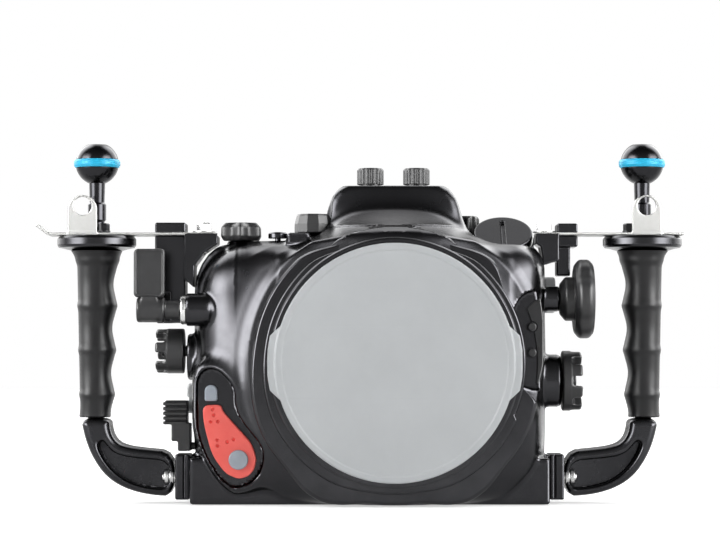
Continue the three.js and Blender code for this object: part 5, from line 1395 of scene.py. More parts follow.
@dataclass(frozen=True)
class RearShell:
    """The back half, with the window and the viewfinder."""

    front: float = 20.3
    back: float = 52.0
    behind: float = 60.0

    def build(self) -> None:
        """Makes the half, its seal, its window and its magnifier."""
        self.shell()
        self.window()
        self.seal()
        self.magnifier()

    def view(self, start: float) -> Form:
        """What the camera's screen is seen through, from a place along the depth to behind the case."""
        return slab(rounded(-28.0, 52.0, 43.0, 97.0, 5.0), start, self.behind, Axis.Y)

    def shell(self) -> None:
        """The shell, hollow, with its window's place, the seal's groove and the controls' holes."""
        body = slab(Hull().outline(), self.front, self.back, Axis.Y, 0.4)
        narrow = slab(Hull().outline(1.0), self.front - 30.0, self.back, Axis.Y, 9.0)
        body = body.meet(narrow, blend=2.0)
        inside = slab(rounded(-105.0, 75.0, 14.0, 140.0, 9.0), 0.0, 46.0, Axis.Y)
        pane = slab(rounded(-36.0, 60.0, 35.0, 105.0, 6.0), 48.4, self.behind, Axis.Y)
        finder = rod(12.5, 10.0, self.behind, Axis.Y, FINDER)
        groove = slab(Hull().outline(3.0), 10.0, 22.8, Axis.Y)
        groove = groove.cut(slab(Hull().outline(5.9), 5.0, 25.0, Axis.Y))
        holes = [rod(3.8, 30.0, self.behind, Axis.Y, REAR_WHEEL)]
        holes += [rod(2.4, 30.0, self.behind, Axis.Y, centre) for centre in REAR_BUTTONS.values()]
        body = body.cut(inside, pane, self.view(30.0), finder, groove, *holes, blend=0.5)
        place("rear_shell", skin(body, 1.6), ANODISED)

    def window(self) -> None:
        """The window, and the frame and screws that hold it."""
        rim = slab(rounded(-40.0, 64.0, 31.0, 109.0, 9.0), 52.3, 54.5, Axis.Y, 0.8)
        rim = rim.cut(self.view(45.0), blend=0.8)
        head = [(0.0, 53.3, 0), (2.3, 53.3, 0.2), (2.3, 54.3, 0.5), (1.2, 54.4, 0), (1.1, 53.7, 0)]
        head += [(0.0, 53.7, 0)]
        screws = []
        for x, z in product((-34.0, 12.0, 58.0), (37.0, 103.0)):
            rim = rim.cut(rod(2.6, 53.2, self.behind, Axis.Y, (x, 0.0, z)))
            screws.append(spun(head, Axis.Y, (x, 0.0, z), 24))
        place("window_frame", skin(rim, 0.8), MILLED)
        place("window_screws", screws, TURNED_STEEL, "window_frame")
        glass = slab(rounded(-35.7, 59.7, 35.3, 104.7, 5.7), 48.6, self.back, Axis.Y, 0.5)
        place("rear_window", skin(glass, 1.2), GLASS)

    def seal(self) -> None:
        """The rubber ring between the halves."""
        ring = slab(Hull().outline(3.3), 20.4, 22.4, Axis.Y, 0.9)
        ring = ring.cut(slab(Hull().outline(5.6), 10.0, 30.0, Axis.Y), blend=0.9)
        place("case_seal", skin(ring, 1.0), SEAL_RUBBER)

    def magnifier(self) -> None:
        """The viewfinder's eyepiece and its lens."""
        barrel = [(12.6, 52.4, 0), (21.0, 52.4, 0.3), (21.0, 55.9, 0.8), (17.6, 56.2, 0.8)]
        barrel += [(17.4, 64.0, 1.0), (20.0, 69.0, 2.0), (19.6, 72.2, 1.2), (15.4, 72.2, 1.0)]
        barrel += [(14.0, 66.6, 0.4), (13.8, 62.0, 0), (12.6, 61.8, 0), (12.6, 52.4, 0)]
        place("eyepiece_body", spun(barrel, Axis.Y, FINDER), SEAL_RUBBER)
        lens = [(0.0, 62.4, 0), (13.4, 62.4, 0.3), (13.4, 65.0, 0.4), (9.0, 66.0, 2.0), (0.0, 66.3, 0)]
        place("eyepiece_lens", spun(lens, Axis.Y, FINDER), GLASS)


@dataclass(frozen=True)
class Port:
    """The bayonet ring, its seal and the pale cap over the opening."""

    radius: float = 68.5
    front: float = -67.2
    back: float = -62.8

    def build(self) -> None:
        """Makes the ring, the seal and the cap."""
        ring = [(61.0, -56.3, 0), (61.0, -61.9, 0.6), (71.0, -61.9, 0.9), (72.0, -60.6, 0.7)]
        ring += [(72.0, -56.3, 0), (61.0, -56.3, 0)]
        place("port_ring", spun(ring, Axis.Y, PORT, 192, steps=5), MILLED)
        lugs = []
        for turn in (90.0, 210.0, 330.0):
            lug = slab([(58.4, -13.0), (62.0, -13.0), (62.0, 13.0), (58.4, 13.0)], -61.2, -59.0, Axis.Y, 0.5)
            lugs.append(lug.moved(Matrix.Translation(PORT) @ Matrix.Rotation(math.radians(turn), 4, "Y")))
        place("port_ring_lugs", skin(lugs[0].join(*lugs[1:]), 0.7), MILLED, "port_ring")
        seal = [(57.9, -49.3, 0), (57.9, -51.5, 1.0), (59.6, -51.5, 1.0), (59.6, -49.3, 1.0)]
        seal += [(57.9, -49.3, 0)]
        place("port_seal", spun(seal, Axis.Y, PORT, 128), SEAL_RUBBER)
        self.cap()

    def cap(self) -> None:
        """The cap: a flat disc with a faint rim, two thumb tabs and a skirt that plugs the opening."""
        disc = rod(self.radius, self.front, self.back, Axis.Y, PORT, 0.9)
        face = rod(self.radius - 4.0, self.front - 3.0, self.front + 0.5, Axis.Y, PORT, 0.3)
        side = [(66.0, 20.5), (71.2, 15.6), (72.5, 8.0), (72.7, 0.0), (72.5, -8.0), (71.2, -15.6)]
        side += [(66.0, -20.5)]
        tabs = [(-x, -z + PORT_Z) for x, z in side] + [(x, z + PORT_Z) for x, z in side]
        tabs = slab(tabs, self.front + 1.0, self.back, Axis.Y, 0.8)
        spigot = rod(57.2, -64.0, -53.2, Axis.Y, PORT, 0.8).cut(rod(54.2, -62.8, -50.0, Axis.Y, PORT))
        made = disc.cut(face, blend=0.5).join(tabs, blend=1.0).join(spigot)
        place("port_cap", skin(made, 0.9), CAP_PLASTIC)


@dataclass(frozen=True)
class PortLock:
    """The coral lever that turns the port's lock, its grey pin and the grey catch."""

    front: float = -39.0
    back: float = -34.6
    dimple: float = 0.95
    net: float = 0.45

    def build(self) -> None:
        """Makes the three pieces."""
        shares = [(-0.653, 0.984), (-0.316, 0.997), (-0.281, 0.872), (0.019, 0.544), (0.231, 0.312)]
        shares += [(0.325, 0.047), (0.294, -0.163), (0.188, -0.294), (0.003, -0.353), (-0.237, -0.25)]
        shares += [(-0.481, 0.091), (-0.628, 0.641)]
        lever = slab(softened(by_lock(shares), 2, 0.2), self.front, self.back, Axis.Y, 0.9)
        dimples = [(-0.466, 0.912), (-0.447, 0.806), (-0.503, 0.688), (-0.372, 0.694), (-0.384, 0.356)]
        dimples += [(-0.378, 0.253), (-0.203, 0.325), (-0.091, 0.369)]
        for x, z in by_lock(dimples):
            lever = lever.cut(rod(self.dimple, -45.0, -37.6, Axis.Y, (x, 0.0, z)))
        lever = lever.cut(rod(3.15, -45.0, -30.0, Axis.Y, LOCK))
        place("port_lock_lever", skin(lever, self.net), CORAL)
        pin = [(0.0, -40.9, 0), (5.2, -40.9, 0.5), (5.7, -40.2, 0.3), (5.7, -39.2, 0), (2.7, -39.2, 0)]
        pin += [(2.7, -28.4, 0.3), (0.0, -28.4, 0)]
        place("port_lock_pivot", spun(pin, Axis.Y, LOCK, 64), GREY_ACETAL)
        tongue = rounded(-109.9, -102.5, 60.3, 69.6, (1.2, 1.2, 3.6, 3.6))
        catch = slab(tongue, -37.9, -34.3, Axis.Y, 0.8)
        place("port_lock_catch", skin(catch, self.net), GREY_ACETAL)


@dataclass(frozen=True)
class TopControls:
    """The bulkhead caps, the tilted plug and the dials and button on the roof."""

    caps_across: float = 13.7
    caps_along: float = 4.0
    stem_low: float = 137.2

    def build(self) -> None:
        """Makes everything that stands on the roof."""
        self.caps()
        self.plug()
        self.dials()

    def caps(self) -> None:
        """The two fluted bulkhead caps on the hump."""
        cap = [(0.0, 181.2, 0), (4.5, 181.2, 0.3), (4.5, 187.1, 0), (6.6, 187.1, 0.2), (6.6, 188.3, 0)]
        cap += [(7.9, 188.4, 0.4), (7.9, 197.0, 0.9), (7.1, 198.1, 0.5), (0.0, 198.1, 0)]
        flutes = lobed(14, 0.8, 6.9, 1.6)
        for side in Side:
            centre = (self.caps_across * side.value, self.caps_along, 0.0)
            place(f"bulkhead_cap_{side.name.lower()}", spun(cap, Axis.Z, centre, 168, flutes), NYLON)

    def plug(self) -> None:
        """The slotted plug on its slanted boss."""
        form = rod(17.3, -5.0, 0.0, Axis.Z, ORIGIN, 0.9).join(rod(12.0, -12.0, -4.0, Axis.Z, ORIGIN))
        form = form.cut(box((-1.1, 1.1), (-12.5, 12.5), (-1.7, 3.0), 0.3), blend=0.3)
        place("accessory_plug", carried(skin(form, 0.5), PLUG_LEAN), ANODISED)
        rim = [(16.2, -5.6, 0), (17.9, -5.6, 0.2), (17.9, -5.05, 0.2), (16.2, -5.05, 0), (16.2, -5.6, 0)]
        washer = carried(spun(rim, Axis.Z, ORIGIN), PLUG_LEAN)
        place("accessory_plug_rim", washer, TURNED_STEEL, "accessory_plug")

    def dials(self) -> None:
        """The star dial, the flat button, the faceted dial and the small dial at the back."""
        low = self.stem_low
        star = [(0.0, low, 0), (2.7, low, 0.3), (2.7, 154.8, 0), (11.9, 154.8, 1.0), (13.3, 157.2, 2.0)]
        star += [(13.1, 162.6, 2.6), (10.6, 165.1, 2.0), (6.0, 165.3, 1.0), (5.2, 164.4, 0.6)]
        star += [(0.0, 164.4, 0)]
        place("top_star_dial", spun(star, Axis.Z, STAR_DIAL, 144, lobed(6, 3.2, 8.6, 0.8, 30.0)), NYLON)
        button = [(0.0, low, 0), (1.7, low, 0.2), (1.7, 155.8, 0), (5.7, 155.8, 0.5), (5.7, 158.6, 1.0)]
        button += [(4.6, 159.5, 0.6), (0.0, 159.3, 0)]
        place("top_button", spun(button, Axis.Z, TOP_BUTTON, 64), MILLED)
        mode = [(0.0, low, 0), (2.7, low, 0.3), (2.7, 158.9, 0), (11.0, 158.9, 0.6), (11.0, 164.2, 0.6)]
        mode += [(9.8, 169.0, 0.6), (9.0, 170.0, 0.6), (6.0, 170.0, 0.4), (5.4, 169.2, 0.3)]
        mode += [(0.0, 169.2, 0)]
        place("mode_dial", spun(mode, Axis.Z, MODE_DIAL, 120, sided(10)), NYLON)
        small = [(0.0, low, 0), (2.2, low, 0.3), (2.2, 158.3, 0), (7.0, 158.3, 0.6), (7.0, 168.4, 1.2)]
        small += [(5.6, 170.0, 0.8), (0.0, 169.6, 0)]
        place("rear_dial", spun(small, Axis.Z, REAR_DIAL, 128, lobed(8, 1.2, 5.6, 1.2)), NYLON)


@dataclass(frozen=True)
class PeggedKnob:
    """A knob moulded as a disc with a ring of pegs that stand out from its face, for gloved fingers.

    back, step, front and root are places along its axis: the disc's back, the pegs' foot and top, and the
    stem's end.
    """

    centre: Triple
    radius: float
    back: float
    step: float
    front: float
    pegs: int
    gap: float
    hub: float
    root: float
    turn: float = 0.0

    def form(self) -> Form:
        """The knob with its hub and its stem."""
        out = 1.0 if self.front > self.back else -1.0

        def disc(radius: float, start: float, end: float, edge: float = 0.0) -> Form:
            """A disc about the knob's axis between two places along it."""
            return rod(radius, min(start, end), max(start, end), Axis.X, self.centre, edge)

        body = disc(self.radius, self.back, self.step, 0.9)
        past = self.front + out * 4.0
        ring = disc(self.radius - 0.2, self.step - out * 1.2, self.front, 1.5)
        ring = ring.cut(disc(self.radius * 0.6, self.step, past), blend=0.8)
        reach = self.radius + 4.0
        low, high = sorted((self.step + out * 0.4, past))
        slot = box((low, high), (-reach, reach), (-self.gap / 2, self.gap / 2), self.gap * 0.4)
        middle = Matrix.Translation((0.0, self.centre[1], self.centre[2]))
        for n in range(self.pegs // 2):
            turn = Matrix.Rotation(math.radians(self.turn + n * 360.0 / self.pegs), 4, "X")
            ring = ring.cut(slot.moved(middle @ turn), blend=1.2)
        boss = disc(self.hub, self.back, self.step + out * 2.0, 0.6)
        return body.join(ring, boss, blend=0.8).join(disc(3.2, self.back, self.root))


@dataclass(frozen=True)
class LeftControls:
    """The trigger lever, the star knob, the ribbed thumb lever and the latch on the left wall."""

    stem_end: float = -105.0
    thumb_along: Pair = (-15.0, -1.0)
    ribs: int = 5
    rib_pitch: float = 2.82

    def build(self) -> None:
        """Makes everything on the left wall."""
        self.trigger()
        self.star()
        self.latch()
        self.thumb()

    def trigger(self) -> None:
        """The shutter trigger: hub, arm and finger pad, with the washer on the boss."""
        hub = rod(7.4, -150.0, -133.6, Axis.X, TRIGGER, 1.4)
        stem = rod(3.4, -126.0, self.stem_end, Axis.X, TRIGGER)
        neck = rod(5.4, -134.0, -125.0, Axis.X, TRIGGER, 0.6).join(stem)
        arm = box((-147.5, -137.5), (-34.0, -30.2), (108.0, 126.0), 1.5)
        body = hub.join(arm, blend=2.0).join(neck, blend=0.8)
        place("shutter_lever", skin(body, 0.6), NYLON)
        pad = slab(rounded(-151.5, -133.4, 120.4, 148.8, 2.6), -34.6, -29.6, Axis.Y, 1.4)
        hollow = slab(rounded(-150.0, -134.9, 121.9, 147.3, 2.0), -40.0, -34.2, Axis.Y, 0.2)
        place("shutter_pad", skin(pad.cut(hollow, blend=0.6), 0.5), PAD_NYLON, "shutter_lever")
        washer = [(3.9, -124.3, 0), (8.2, -124.3, 0.5), (8.6, -123.4, 0.3), (8.6, -121.4, 0.2)]
        washer += [(3.9, -121.4, 0), (3.9, -124.3, 0)]
        place("shutter_bushing", spun(washer, Axis.X, TRIGGER, 72), TURNED_STEEL)

    def star(self) -> None:
        """The star knob of six pegs and its screw."""
        along = {"back": -123.6, "step": -133.4, "front": -140.2, "root": self.stem_end}
        knob = PeggedKnob(STAR_KNOB, radius=13.2, pegs=6, gap=6.6, hub=5.6, turn=20.0, **along)
        place("left_star_knob", skin(knob.form(), 0.45), NYLON)
        screw = [(0.0, -137.0, 0), (3.2, -137.0, 0.5), (3.4, -135.6, 0), (0.0, -135.2, 0)]
        place("left_star_screw", spun(screw, Axis.X, STAR_KNOB, 32), BLACKED_STEEL, "left_star_knob")

    def latch(self) -> None:
        """The rotary latch with its slot."""
        made = rod(8.9, -122.6, -117.0, Axis.X, LEFT_LATCH, 1.4)
        made = made.cut(box((-130.0, -121.4), (-15.0, 30.0), (60.2, 62.2)), blend=0.4)
        made = made.join(rod(3.0, -118.0, self.stem_end, Axis.X, LEFT_LATCH))
        place("case_latch_left", skin(made, 0.5), LATCH_GREY)

    def thumb(self) -> None:
        """The thumb lever: a ribbed pad over an arm and its hinge post."""
        low = 46.2
        pad = box((-135.7, -121.3), self.thumb_along, (low, 60.3), 1.0)
        for step in range(self.ribs):
            start = low + step * self.rib_pitch
            valley = (start + 1.9, start + 2.7)
            pad = pad.cut(box((-140.0, -134.4), (-20.0, 5.0), valley, 0.2), blend=0.5)
            pad = pad.cut(box((-140.0, -117.0), (-20.0, -13.8), valley, 0.2), blend=0.5)
        arm = box((-130.7, -119.4), self.thumb_along, (36.4, 47.0), 0.8)
        post = box((-127.0, -119.4), self.thumb_along, (30.6, 37.0), 0.8)
        pin = rod(2.2, -120.0, -110.6, Axis.X, (0.0, -8.0, 33.5))
        made = pad.join(arm, blend=0.8).join(post, blend=0.8).join(pin)
        place("thumb_lever", skin(made, 0.5), NYLON)


@dataclass(frozen=True)
class RightControls:
    """The focus wheel, the pegged zoom knob, the latch and the lens release plate on the right."""

    stem_end: float = 75.2
    buttons_across: float = 79.6
    button_upper: float = 103.2
    button_lower: float = 88.2

    def build(self) -> None:
        """Makes everything on the right wall."""
        self.focus()
        self.zoom()
        self.latch()
        self.release()

    def focus(self) -> None:
        """The large wheel with its five broad lobes."""
        wheel = [(0.0, self.stem_end, 0), (3.4, self.stem_end, 0.3), (3.4, 97.4, 0), (9.0, 97.4, 1.0)]
        wheel += [(12.9, 100.6, 2.0), (12.9, 105.8, 0.5), (19.8, 105.8, 1.5), (23.2, 108.4, 3.4)]
        wheel += [(23.2, 114.4, 3.4), (20.2, 116.9, 2.0), (14.6, 116.9, 0.8), (13.4, 114.2, 0.6)]
        wheel += [(0.0, 114.0, 0)]
        place("focus_knob", spun(wheel, Axis.X, FOCUS_KNOB, 192, lobed(5, 1.8, 18.8, 4.0, 36.0)), NYLON)

    def zoom(self) -> None:
        """The zoom knob of eight pegs and its screw."""
        along = {"back": 98.6, "step": 103.6, "front": 109.9, "root": 68.8}
        knob = PeggedKnob(ZOOM_KNOB, radius=17.6, pegs=8, gap=5.8, hub=6.4, **along)
        place("zoom_knob", skin(knob.form(), 0.5), NYLON)
        screw = [(0.0, 105.4, 0), (4.6, 105.4, 0), (4.6, 106.6, 0.5), (3.0, 107.1, 0.5), (0.0, 107.2, 0)]
        place("zoom_screw", spun(screw, Axis.X, ZOOM_KNOB, 48), BLACKED_STEEL, "zoom_knob")

    def latch(self) -> None:
        """The rotary latch with its slot."""
        made = rod(10.7, 89.4, 96.4, Axis.X, RIGHT_LATCH, 1.6)
        made = made.cut(box((95.0, 100.0), (-15.0, 30.0), (121.7, 123.9)), blend=0.4)
        made = made.join(rod(3.0, self.stem_end, 90.0, Axis.X, RIGHT_LATCH))
        place("case_latch_right", skin(made, 0.5), LATCH_GREY)

    def release(self) -> None:
        """The dark plate beside the port with its two round buttons."""
        outline = [(86.2, 68.8), (75.6, 72.4), (71.0, 79.0), (68.6, 90.0), (69.6, 102.0), (73.6, 110.0)]
        outline += [(79.8, 117.2), (86.2, 121.3)]
        plate = slab(softened(outline, 1), -39.2, -37.0, Axis.Y, 0.5)
        plate = plate.cut(rod(82.8, -60.0, 0.0, Axis.Y, PORT), blend=0.3)
        heights = {"upper": self.button_upper, "lower": self.button_lower}
        centres = {row: (self.buttons_across, 0.0, z) for row, z in heights.items()}
        for centre in centres.values():
            plate = plate.cut(rod(3.1, -50.0, -30.0, Axis.Y, centre), blend=0.3)
        place("lens_release_plate", skin(plate, 0.5), SMOOTH_PLATE)
        cap = [(0.0, -41.4, 0), (2.0, -41.5, 0.4), (2.7, -40.8, 0.3), (2.7, -37.4, 0), (1.3, -37.4, 0)]
        cap += [(1.3, -26.2, 0), (0.0, -26.2, 0)]
        for row, centre in centres.items():
            place(f"lens_release_button_{row}", spun(cap, Axis.Y, centre, 40), PAD_NYLON)


@dataclass(frozen=True)
class RearControls:
    """The wheel and the three buttons on the back, and what lies inside the case."""

    stem_end: float = 43.2

    def build(self) -> None:
        """Makes the back controls and finishes the pieces inside."""
        end = self.stem_end
        wheel = [(0.0, end, 0), (3.2, end, 0.3), (3.2, 52.4, 0), (14.8, 52.4, 0.8), (16.5, 53.6, 0.8)]
        wheel += [(16.5, 57.2, 0.9), (15.2, 58.2, 0.7), (10.6, 58.2, 0.6), (9.6, 56.8, 0.6), (0.0, 56.6, 0)]
        place("rear_wheel", spun(wheel, Axis.Y, REAR_WHEEL, 168, lobed(14, 1.3, 13.6, 1.2)), NYLON)
        cap = [(0.0, end, 0), (2.0, end, 0.2), (2.0, 54.8, 0), (5.0, 54.8, 0.3), (5.0, 56.8, 0.9)]
        cap += [(4.2, 57.6, 0.6), (3.4, 57.3, 0.6), (0.0, 57.1, 0)]
        for name, centre in REAR_BUTTONS.items():
            place(name, spun(cap, Axis.Y, centre, 48), MILLED)
        keep(TRAY, "camera_tray")
        keep(BRASS, "zoom_bevel_gear", "lens_drive_gear")


# The handles and the strap

# Places across: the grip's middle line, the face that the arm is bolted to, the strap's bolt and its eye
GRIP_X = {Side.LEFT: -176.2, Side.RIGHT: 147.7}
FACE_X = {Side.LEFT: -128.9, Side.RIGHT: 100.4}
BOLT_X = {Side.LEFT: -112.3, Side.RIGHT: 89.4}
EYE_X = {Side.LEFT: -183.7, Side.RIGHT: 149.3}
EYE_BOLT = {Side.LEFT: (-171.1, -7.4, 0.0), Side.RIGHT: (139.0, -6.0, 0.0)}


@dataclass(frozen=True)
class Handle(Paired):
    """One handle: the foot block, the cast arm, its bolts, the rubber grip and the disc on top."""

    half: float = 14.0
    bolt: Triple = (0.0, -8.6, 15.2)
    grip_low: float = 50.3
    grip_high: float = 148.5
    grip_power: float = 0.84
    finger_pitch: float = 26.3
    finger_crest: float = 90.0
    sides: int = 72

    def out(self, distance: float) -> float:
        """A place across, from its distance outward of the bolted face."""
        return FACE_X[self.side] + self.side.value * distance

    def span(self, near: float, far: float) -> Pair:
        """Two places across from distances outward, the lower first."""
        low, high = sorted((self.out(near), self.out(far)))
        return low, high

    def outline(self, places: Outline) -> list[Pair]:
        """A softened outline from distances outward and up.

        Args:
            places: Distances out from the bolted face, and heights.

        Returns:
            Places across and up.
        """
        return softened([(self.out(distance), up) for distance, up in places], 2)

    def build(self) -> None:
        """Makes the handle."""
        self.arm()
        self.foot()
        self.grip()
        self.disc()

    def arm(self) -> None:
        """The cast arm: a channel with a bright upper rail that sweeps up into the grip."""
        body = [(0.2, 3.9), (14.0, 4.6), (26.0, 7.4), (35.0, 11.6), (42.0, 17.4), (47.0, 24.6)]
        body += [(50.6, 31.6), (53.4, 40.0), (55.4, 49.8), (38.6, 49.8), (38.2, 44.0), (36.6, 39.2)]
        body += [(33.6, 35.6), (28.0, 33.4), (20.0, 32.2), (0.2, 30.4)]
        pocket = [(2.6, 8.2), (15.0, 9.0), (25.6, 11.8), (33.4, 16.4), (39.6, 22.8), (44.0, 30.0)]
        pocket += [(45.4, 35.4), (42.4, 37.0), (39.6, 33.4), (36.0, 29.6), (30.0, 27.4), (21.0, 26.2)]
        pocket += [(2.6, 24.8)]
        made = slab(self.outline(body), -self.half, self.half, Axis.Y, 4.2)
        well = self.outline(pocket)
        made = made.cut(slab(well, -30.0, -3.0, Axis.Y), slab(well, 3.0, 30.0, Axis.Y), blend=2.6)
        low = self.span(43.0, 52.0)[0]
        pillar = slab(rounded(low, low + 9.0, -6.4, 6.4, 4.4), 44.0, 148.4, Axis.Z)
        made = made.join(pillar, blend=1.0)
        made = made.meet(box(self.span(0.0, 60.0), (-self.half, self.half), (3.8, self.grip_high)))
        self.place("handle_arm", skin(made, 0.9), CAST)

    def foot(self) -> None:
        """The slotted block at the foot of the case and the arm's bolt with its two knurled rings."""
        block = box(self.span(-9.0, -0.3), (-self.half, self.half), (2.0, 28.8), 1.2)
        slot = box(self.span(-6.4, -5.4), (-20.0, -13.2), (0.0, 40.0))
        self.place("side_block", skin(block.cut(slot, blend=0.4), 0.7), ANODISED)
        bolts = []
        for near in (0.6, 3.6):
            low, high = sorted((self.out(near), self.out(near) + self.side.value * 2.4))
            ring = [(0.0, low, 0), (4.6, low, 0.5), (4.6, high, 0.5), (0.0, high, 0)]
            bolts.append(spun(ring, Axis.X, self.bolt, 72))
        low, high = self.span(-17.6, 7.2)
        shank = [(0.0, low, 0), (2.7, low, 0.3), (2.7, high, 0.8), (0.0, high, 0)]
        bolts.append(spun(shank, Axis.X, self.bolt, 40))
        self.place("handle_bolt", bolts, KNURLED_STEEL)

    def grip(self) -> None:
        """The rubber grip: four finger waves between thin ridges, and a skirt that flares under the disc."""
        heights = np.linspace(self.grip_low, self.grip_high, 150)
        angles = np.arange(self.sides) * 2 * math.pi / self.sides
        cosine, sine = np.cos(angles), np.sin(angles)
        across = np.sign(cosine) * np.abs(cosine) ** self.grip_power
        along = np.sign(sine) * np.abs(sine) ** self.grip_power
        finger = np.clip(cosine * -self.side.value, 0.0, 1.0)
        rings = []
        for z in heights:
            share = (z - self.grip_low) / (self.grip_high - self.grip_low)
            swell = math.cos(2 * math.pi * (z - self.finger_crest) / self.finger_pitch)
            crest = max(0.0, swell) ** 7
            flare = max(0.0, (z - 139.5) / 9.0) ** 2.0
            root = max(0.0, (58.0 - z) / 8.0) ** 2.0
            wide = 9.3 + 2.3 * share + 0.5 * crest + (1.1 * swell - 0.3) * finger + 3.4 * flare + 0.8 * root
            deep = 12.4 + 3.0 * share + 0.45 * crest + 0.5 * swell + 2.6 * flare
            places = [GRIP_X[self.side] + across * wide, along * deep, np.full(self.sides, z)]
            rings.append(np.stack(places, axis=1))
        middle = rings[0].mean(axis=0)
        rings[0] = (rings[0] - middle) * [0.95, 0.95, 1.0] + middle
        self.place("grip", lofted(np.array(rings)), GRIP_RUBBER)

    def disc(self) -> None:
        """The round head that the strap and the ball bolt through."""
        profile = [(0.0, 148.8, 0), (15.0, 148.8, 0.4), (19.0, 150.0, 3.0), (22.4, 150.6, 1.0)]
        profile += [(23.3, 152.0, 1.0), (23.3, 155.8, 1.2), (22.0, 157.4, 0.8), (0.0, 157.4, 0)]
        centre = (GRIP_X[self.side], 0.0, 0.0)
        self.place("grip_disc", spun(profile, Axis.Z, centre, 128, steps=5), ANODISED)


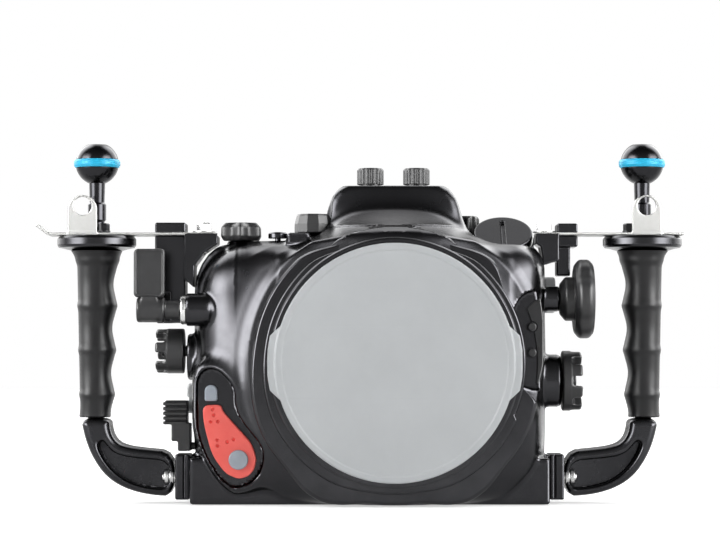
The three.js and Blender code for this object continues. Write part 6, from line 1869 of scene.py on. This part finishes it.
@dataclass(frozen=True)
class StrapEnd(Paired):
    """One side of the top strap: the bar with its eye, its bracket, its bolts and the light-arm ball."""

    low: float = 157.7
    high: float = 159.3
    half: float = 12.0
    eye_up: float = 174.9
    ball_up: float = 200.7
    ball_radius: float = 12.7
    groove: float = 2.7

    def build(self) -> None:
        """Makes the side."""
        self.bar()
        self.bracket()
        self.bolts()
        self.ball()

    def bar(self) -> None:
        """The steel bar with its upright eye."""
        low, high, eye = self.low, self.high, EYE_X[self.side]
        if self.side is Side.LEFT:
            line = [(-105.0, low), (-105.0, high), (-203.6, high), (-210.6, 164.8), (-211.6, 163.3)]
            line += [(-204.2, low)]
        else:
            line = [(84.0, low), (171.3, low), (171.3, high), (84.0, high)]
        bar = slab(line, -self.half, self.half, Axis.Y, 0.3)
        hole = rod(5.4, -20.0, -5.0, Axis.Y, (eye, 0.0, self.eye_up))
        plate = rounded(eye - 8.6, eye + 8.6, 157.9, 181.4, (0.5, 0.5, 8.5, 8.5))
        made = bar.join(slab(plate, -self.half, -10.4, Axis.Y, 0.3), blend=1.2).cut(hole, blend=0.3)
        ball = rod(3.4, 150.0, 165.0, Axis.Z, (GRIP_X[self.side], 0.0, 0.0))
        bolt = rod(2.9, 150.0, 165.0, Axis.Z, (BOLT_X[self.side], 0.0, 0.0))
        self.place("strap", skin(made.cut(ball, bolt), 0.55), BLASTED_STEEL)

    def bracket(self) -> None:
        """The dark post on the case and the block that grips the bar from behind."""
        if self.side is Side.LEFT:
            post = [(-103.8, 157.4), (-103.8, 152.8), (-106.0, 151.2), (-112.0, 147.2), (-117.4, 139.6)]
            post += [(-117.6, 126.6), (-123.6, 132.0), (-123.6, 157.4)]
            block = box((-141.3, -123.2), (-6.0, 17.0), (106.0, 165.5), 1.0)
            block = block.cut(box((-145.0, -132.0), (-10.0, 8.0), (100.0, 124.0), 0.5), blend=0.5)
        else:
            post = [(83.8, 157.4), (83.8, 152.8), (86.6, 150.8), (87.6, 145.0), (87.6, 139.8)]
            post += [(97.4, 142.8), (97.4, 157.4)]
            block = box((97.0, 109.0), (-6.0, 17.0), (151.0, 165.0), 1.0)
            block = block.join(box((97.0, 105.2), (2.0, 17.0), (134.0, 152.0), 1.0))
        seat = 12.35
        low, high = sorted((post[0][0], post[-1][0]))
        lip = box((low, high), (-13.0, -seat), (156.0, self.high), 0.3)
        made = slab(post, -13.0, 12.6, Axis.Y, 0.7).join(lip).join(block, blend=0.6)
        made = made.cut(box((made.low[0] - 4.0, made.high[0] + 4.0), (-seat, seat), (157.4, 159.6)))
        made = made.cut(rod(2.9, 147.0, 170.0, Axis.Z, (BOLT_X[self.side], 0.0, 0.0)))
        self.place("strap_bracket", skin(made, 0.7), MILLED)

    def bolts(self) -> None:
        """The bright bolt on the post and the dark one beside the eye."""
        centre = (BOLT_X[self.side], 0.0, 0.0)
        washer = [(0.0, 159.6, 0), (6.8, 159.6, 0.2), (7.0, 160.4, 0.3), (6.4, 160.6, 0.2), (0.0, 160.6, 0)]
        head = [(0.0, 160.5, 0), (4.7, 160.5, 0.2), (4.7, 164.6, 0.6), (3.6, 165.6, 0.5), (0.0, 165.6, 0)]
        shank = [(0.0, 147.6, 0), (2.5, 147.6, 0.3), (2.5, 160.0, 0), (0.0, 160.0, 0)]
        parts = [spun(washer, Axis.Z, centre, 64), spun(head, Axis.Z, centre, 72, sided(6, 20.0))]
        parts.append(spun(shank, Axis.Z, centre, 32))
        self.place("strap_bolt", parts, TURNED_STEEL)
        centre = EYE_BOLT[self.side]
        washer = [(0.0, 159.6, 0), (3.6, 159.6, 0.2), (3.6, 160.5, 0.2), (0.0, 160.5, 0)]
        head = [(0.0, 160.4, 0), (3.2, 160.4, 0.2), (3.2, 164.3, 0.5), (2.4, 164.9, 0.4), (0.0, 164.9, 0)]
        parts = [spun(washer, Axis.Z, centre, 40), spun(head, Axis.Z, centre, 60, sided(6))]
        self.place("eye_bolt", parts, BLACKED_STEEL)

    def ball(self) -> None:
        """The light-arm ball on its collared stem, with the coloured ring in its groove."""
        middle, radius, edge = self.ball_up, self.ball_radius, self.groove
        stem = [(0.0, 149.6, 0), (2.7, 149.6, 0.3), (2.7, 159.6, 0), (5.2, 159.6, 0.5), (4.6, 161.4, 1.0)]
        stem += [(4.4, 166.0, 1.0), (5.4, 167.0, 0.6), (5.4, 176.4, 0.6), (4.4, 177.4, 0.6)]
        turns = [math.radians(158 - step * 5.2) for step in range(25)]
        sphere = [(radius * math.sin(turn), middle + radius * math.cos(turn), 0) for turn in turns]
        lower = [spot for spot in sphere if spot[1] < middle - edge]
        upper = [spot for spot in sphere if spot[1] > middle + edge and spot[0] > 5.8]
        groove = [(12.35, middle - edge, 0), (11.4, middle - 2.6, 0), (11.4, middle + 2.6, 0)]
        groove += [(12.35, middle + edge, 0)]
        top = [(5.6, 212.0, 0.3), (3.4, 212.1, 0.3), (2.8, 210.6, 0), (0.0, 210.4, 0)]
        centre = (GRIP_X[self.side], 0.0, 0.0)
        self.place("ball_mount", spun(stem + lower + groove + upper + top, Axis.Z, centre, 128), BALL_BLACK)
        ring = [(11.6, middle - 2.4, 0), (13.1, middle - 2.4, 0.8), (13.7, middle - 1.0, 0.8)]
        ring += [(13.7, middle + 1.0, 0.8), (13.1, middle + 2.4, 0.8), (11.6, middle + 2.4, 0)]
        ring += [(11.6, middle - 2.4, 0)]
        self.place("ball_ring", spun(ring, Axis.Z, centre, 128), CYAN_RUBBER)


def main() -> None:
    """Builds the housing piece by piece and works out its two boxes."""
    logging.basicConfig(level=logging.INFO, format="%(message)s")
    Studio().build()
    for assembly in (FrontShell, RearShell, Port, PortLock, TopControls, LeftControls, RightControls):
        assembly().build()
    RearControls().build()
    for side in Side:
        Handle(side).build()
        StrapEnd(side).build()
    sizes = {"cad": CAD_BOUNDS, "visual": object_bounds()}
    plain = {key: [[float(v) for v in corner] for corner in value] for key, value in sizes.items()}


if __name__ == "__main__":
    main()
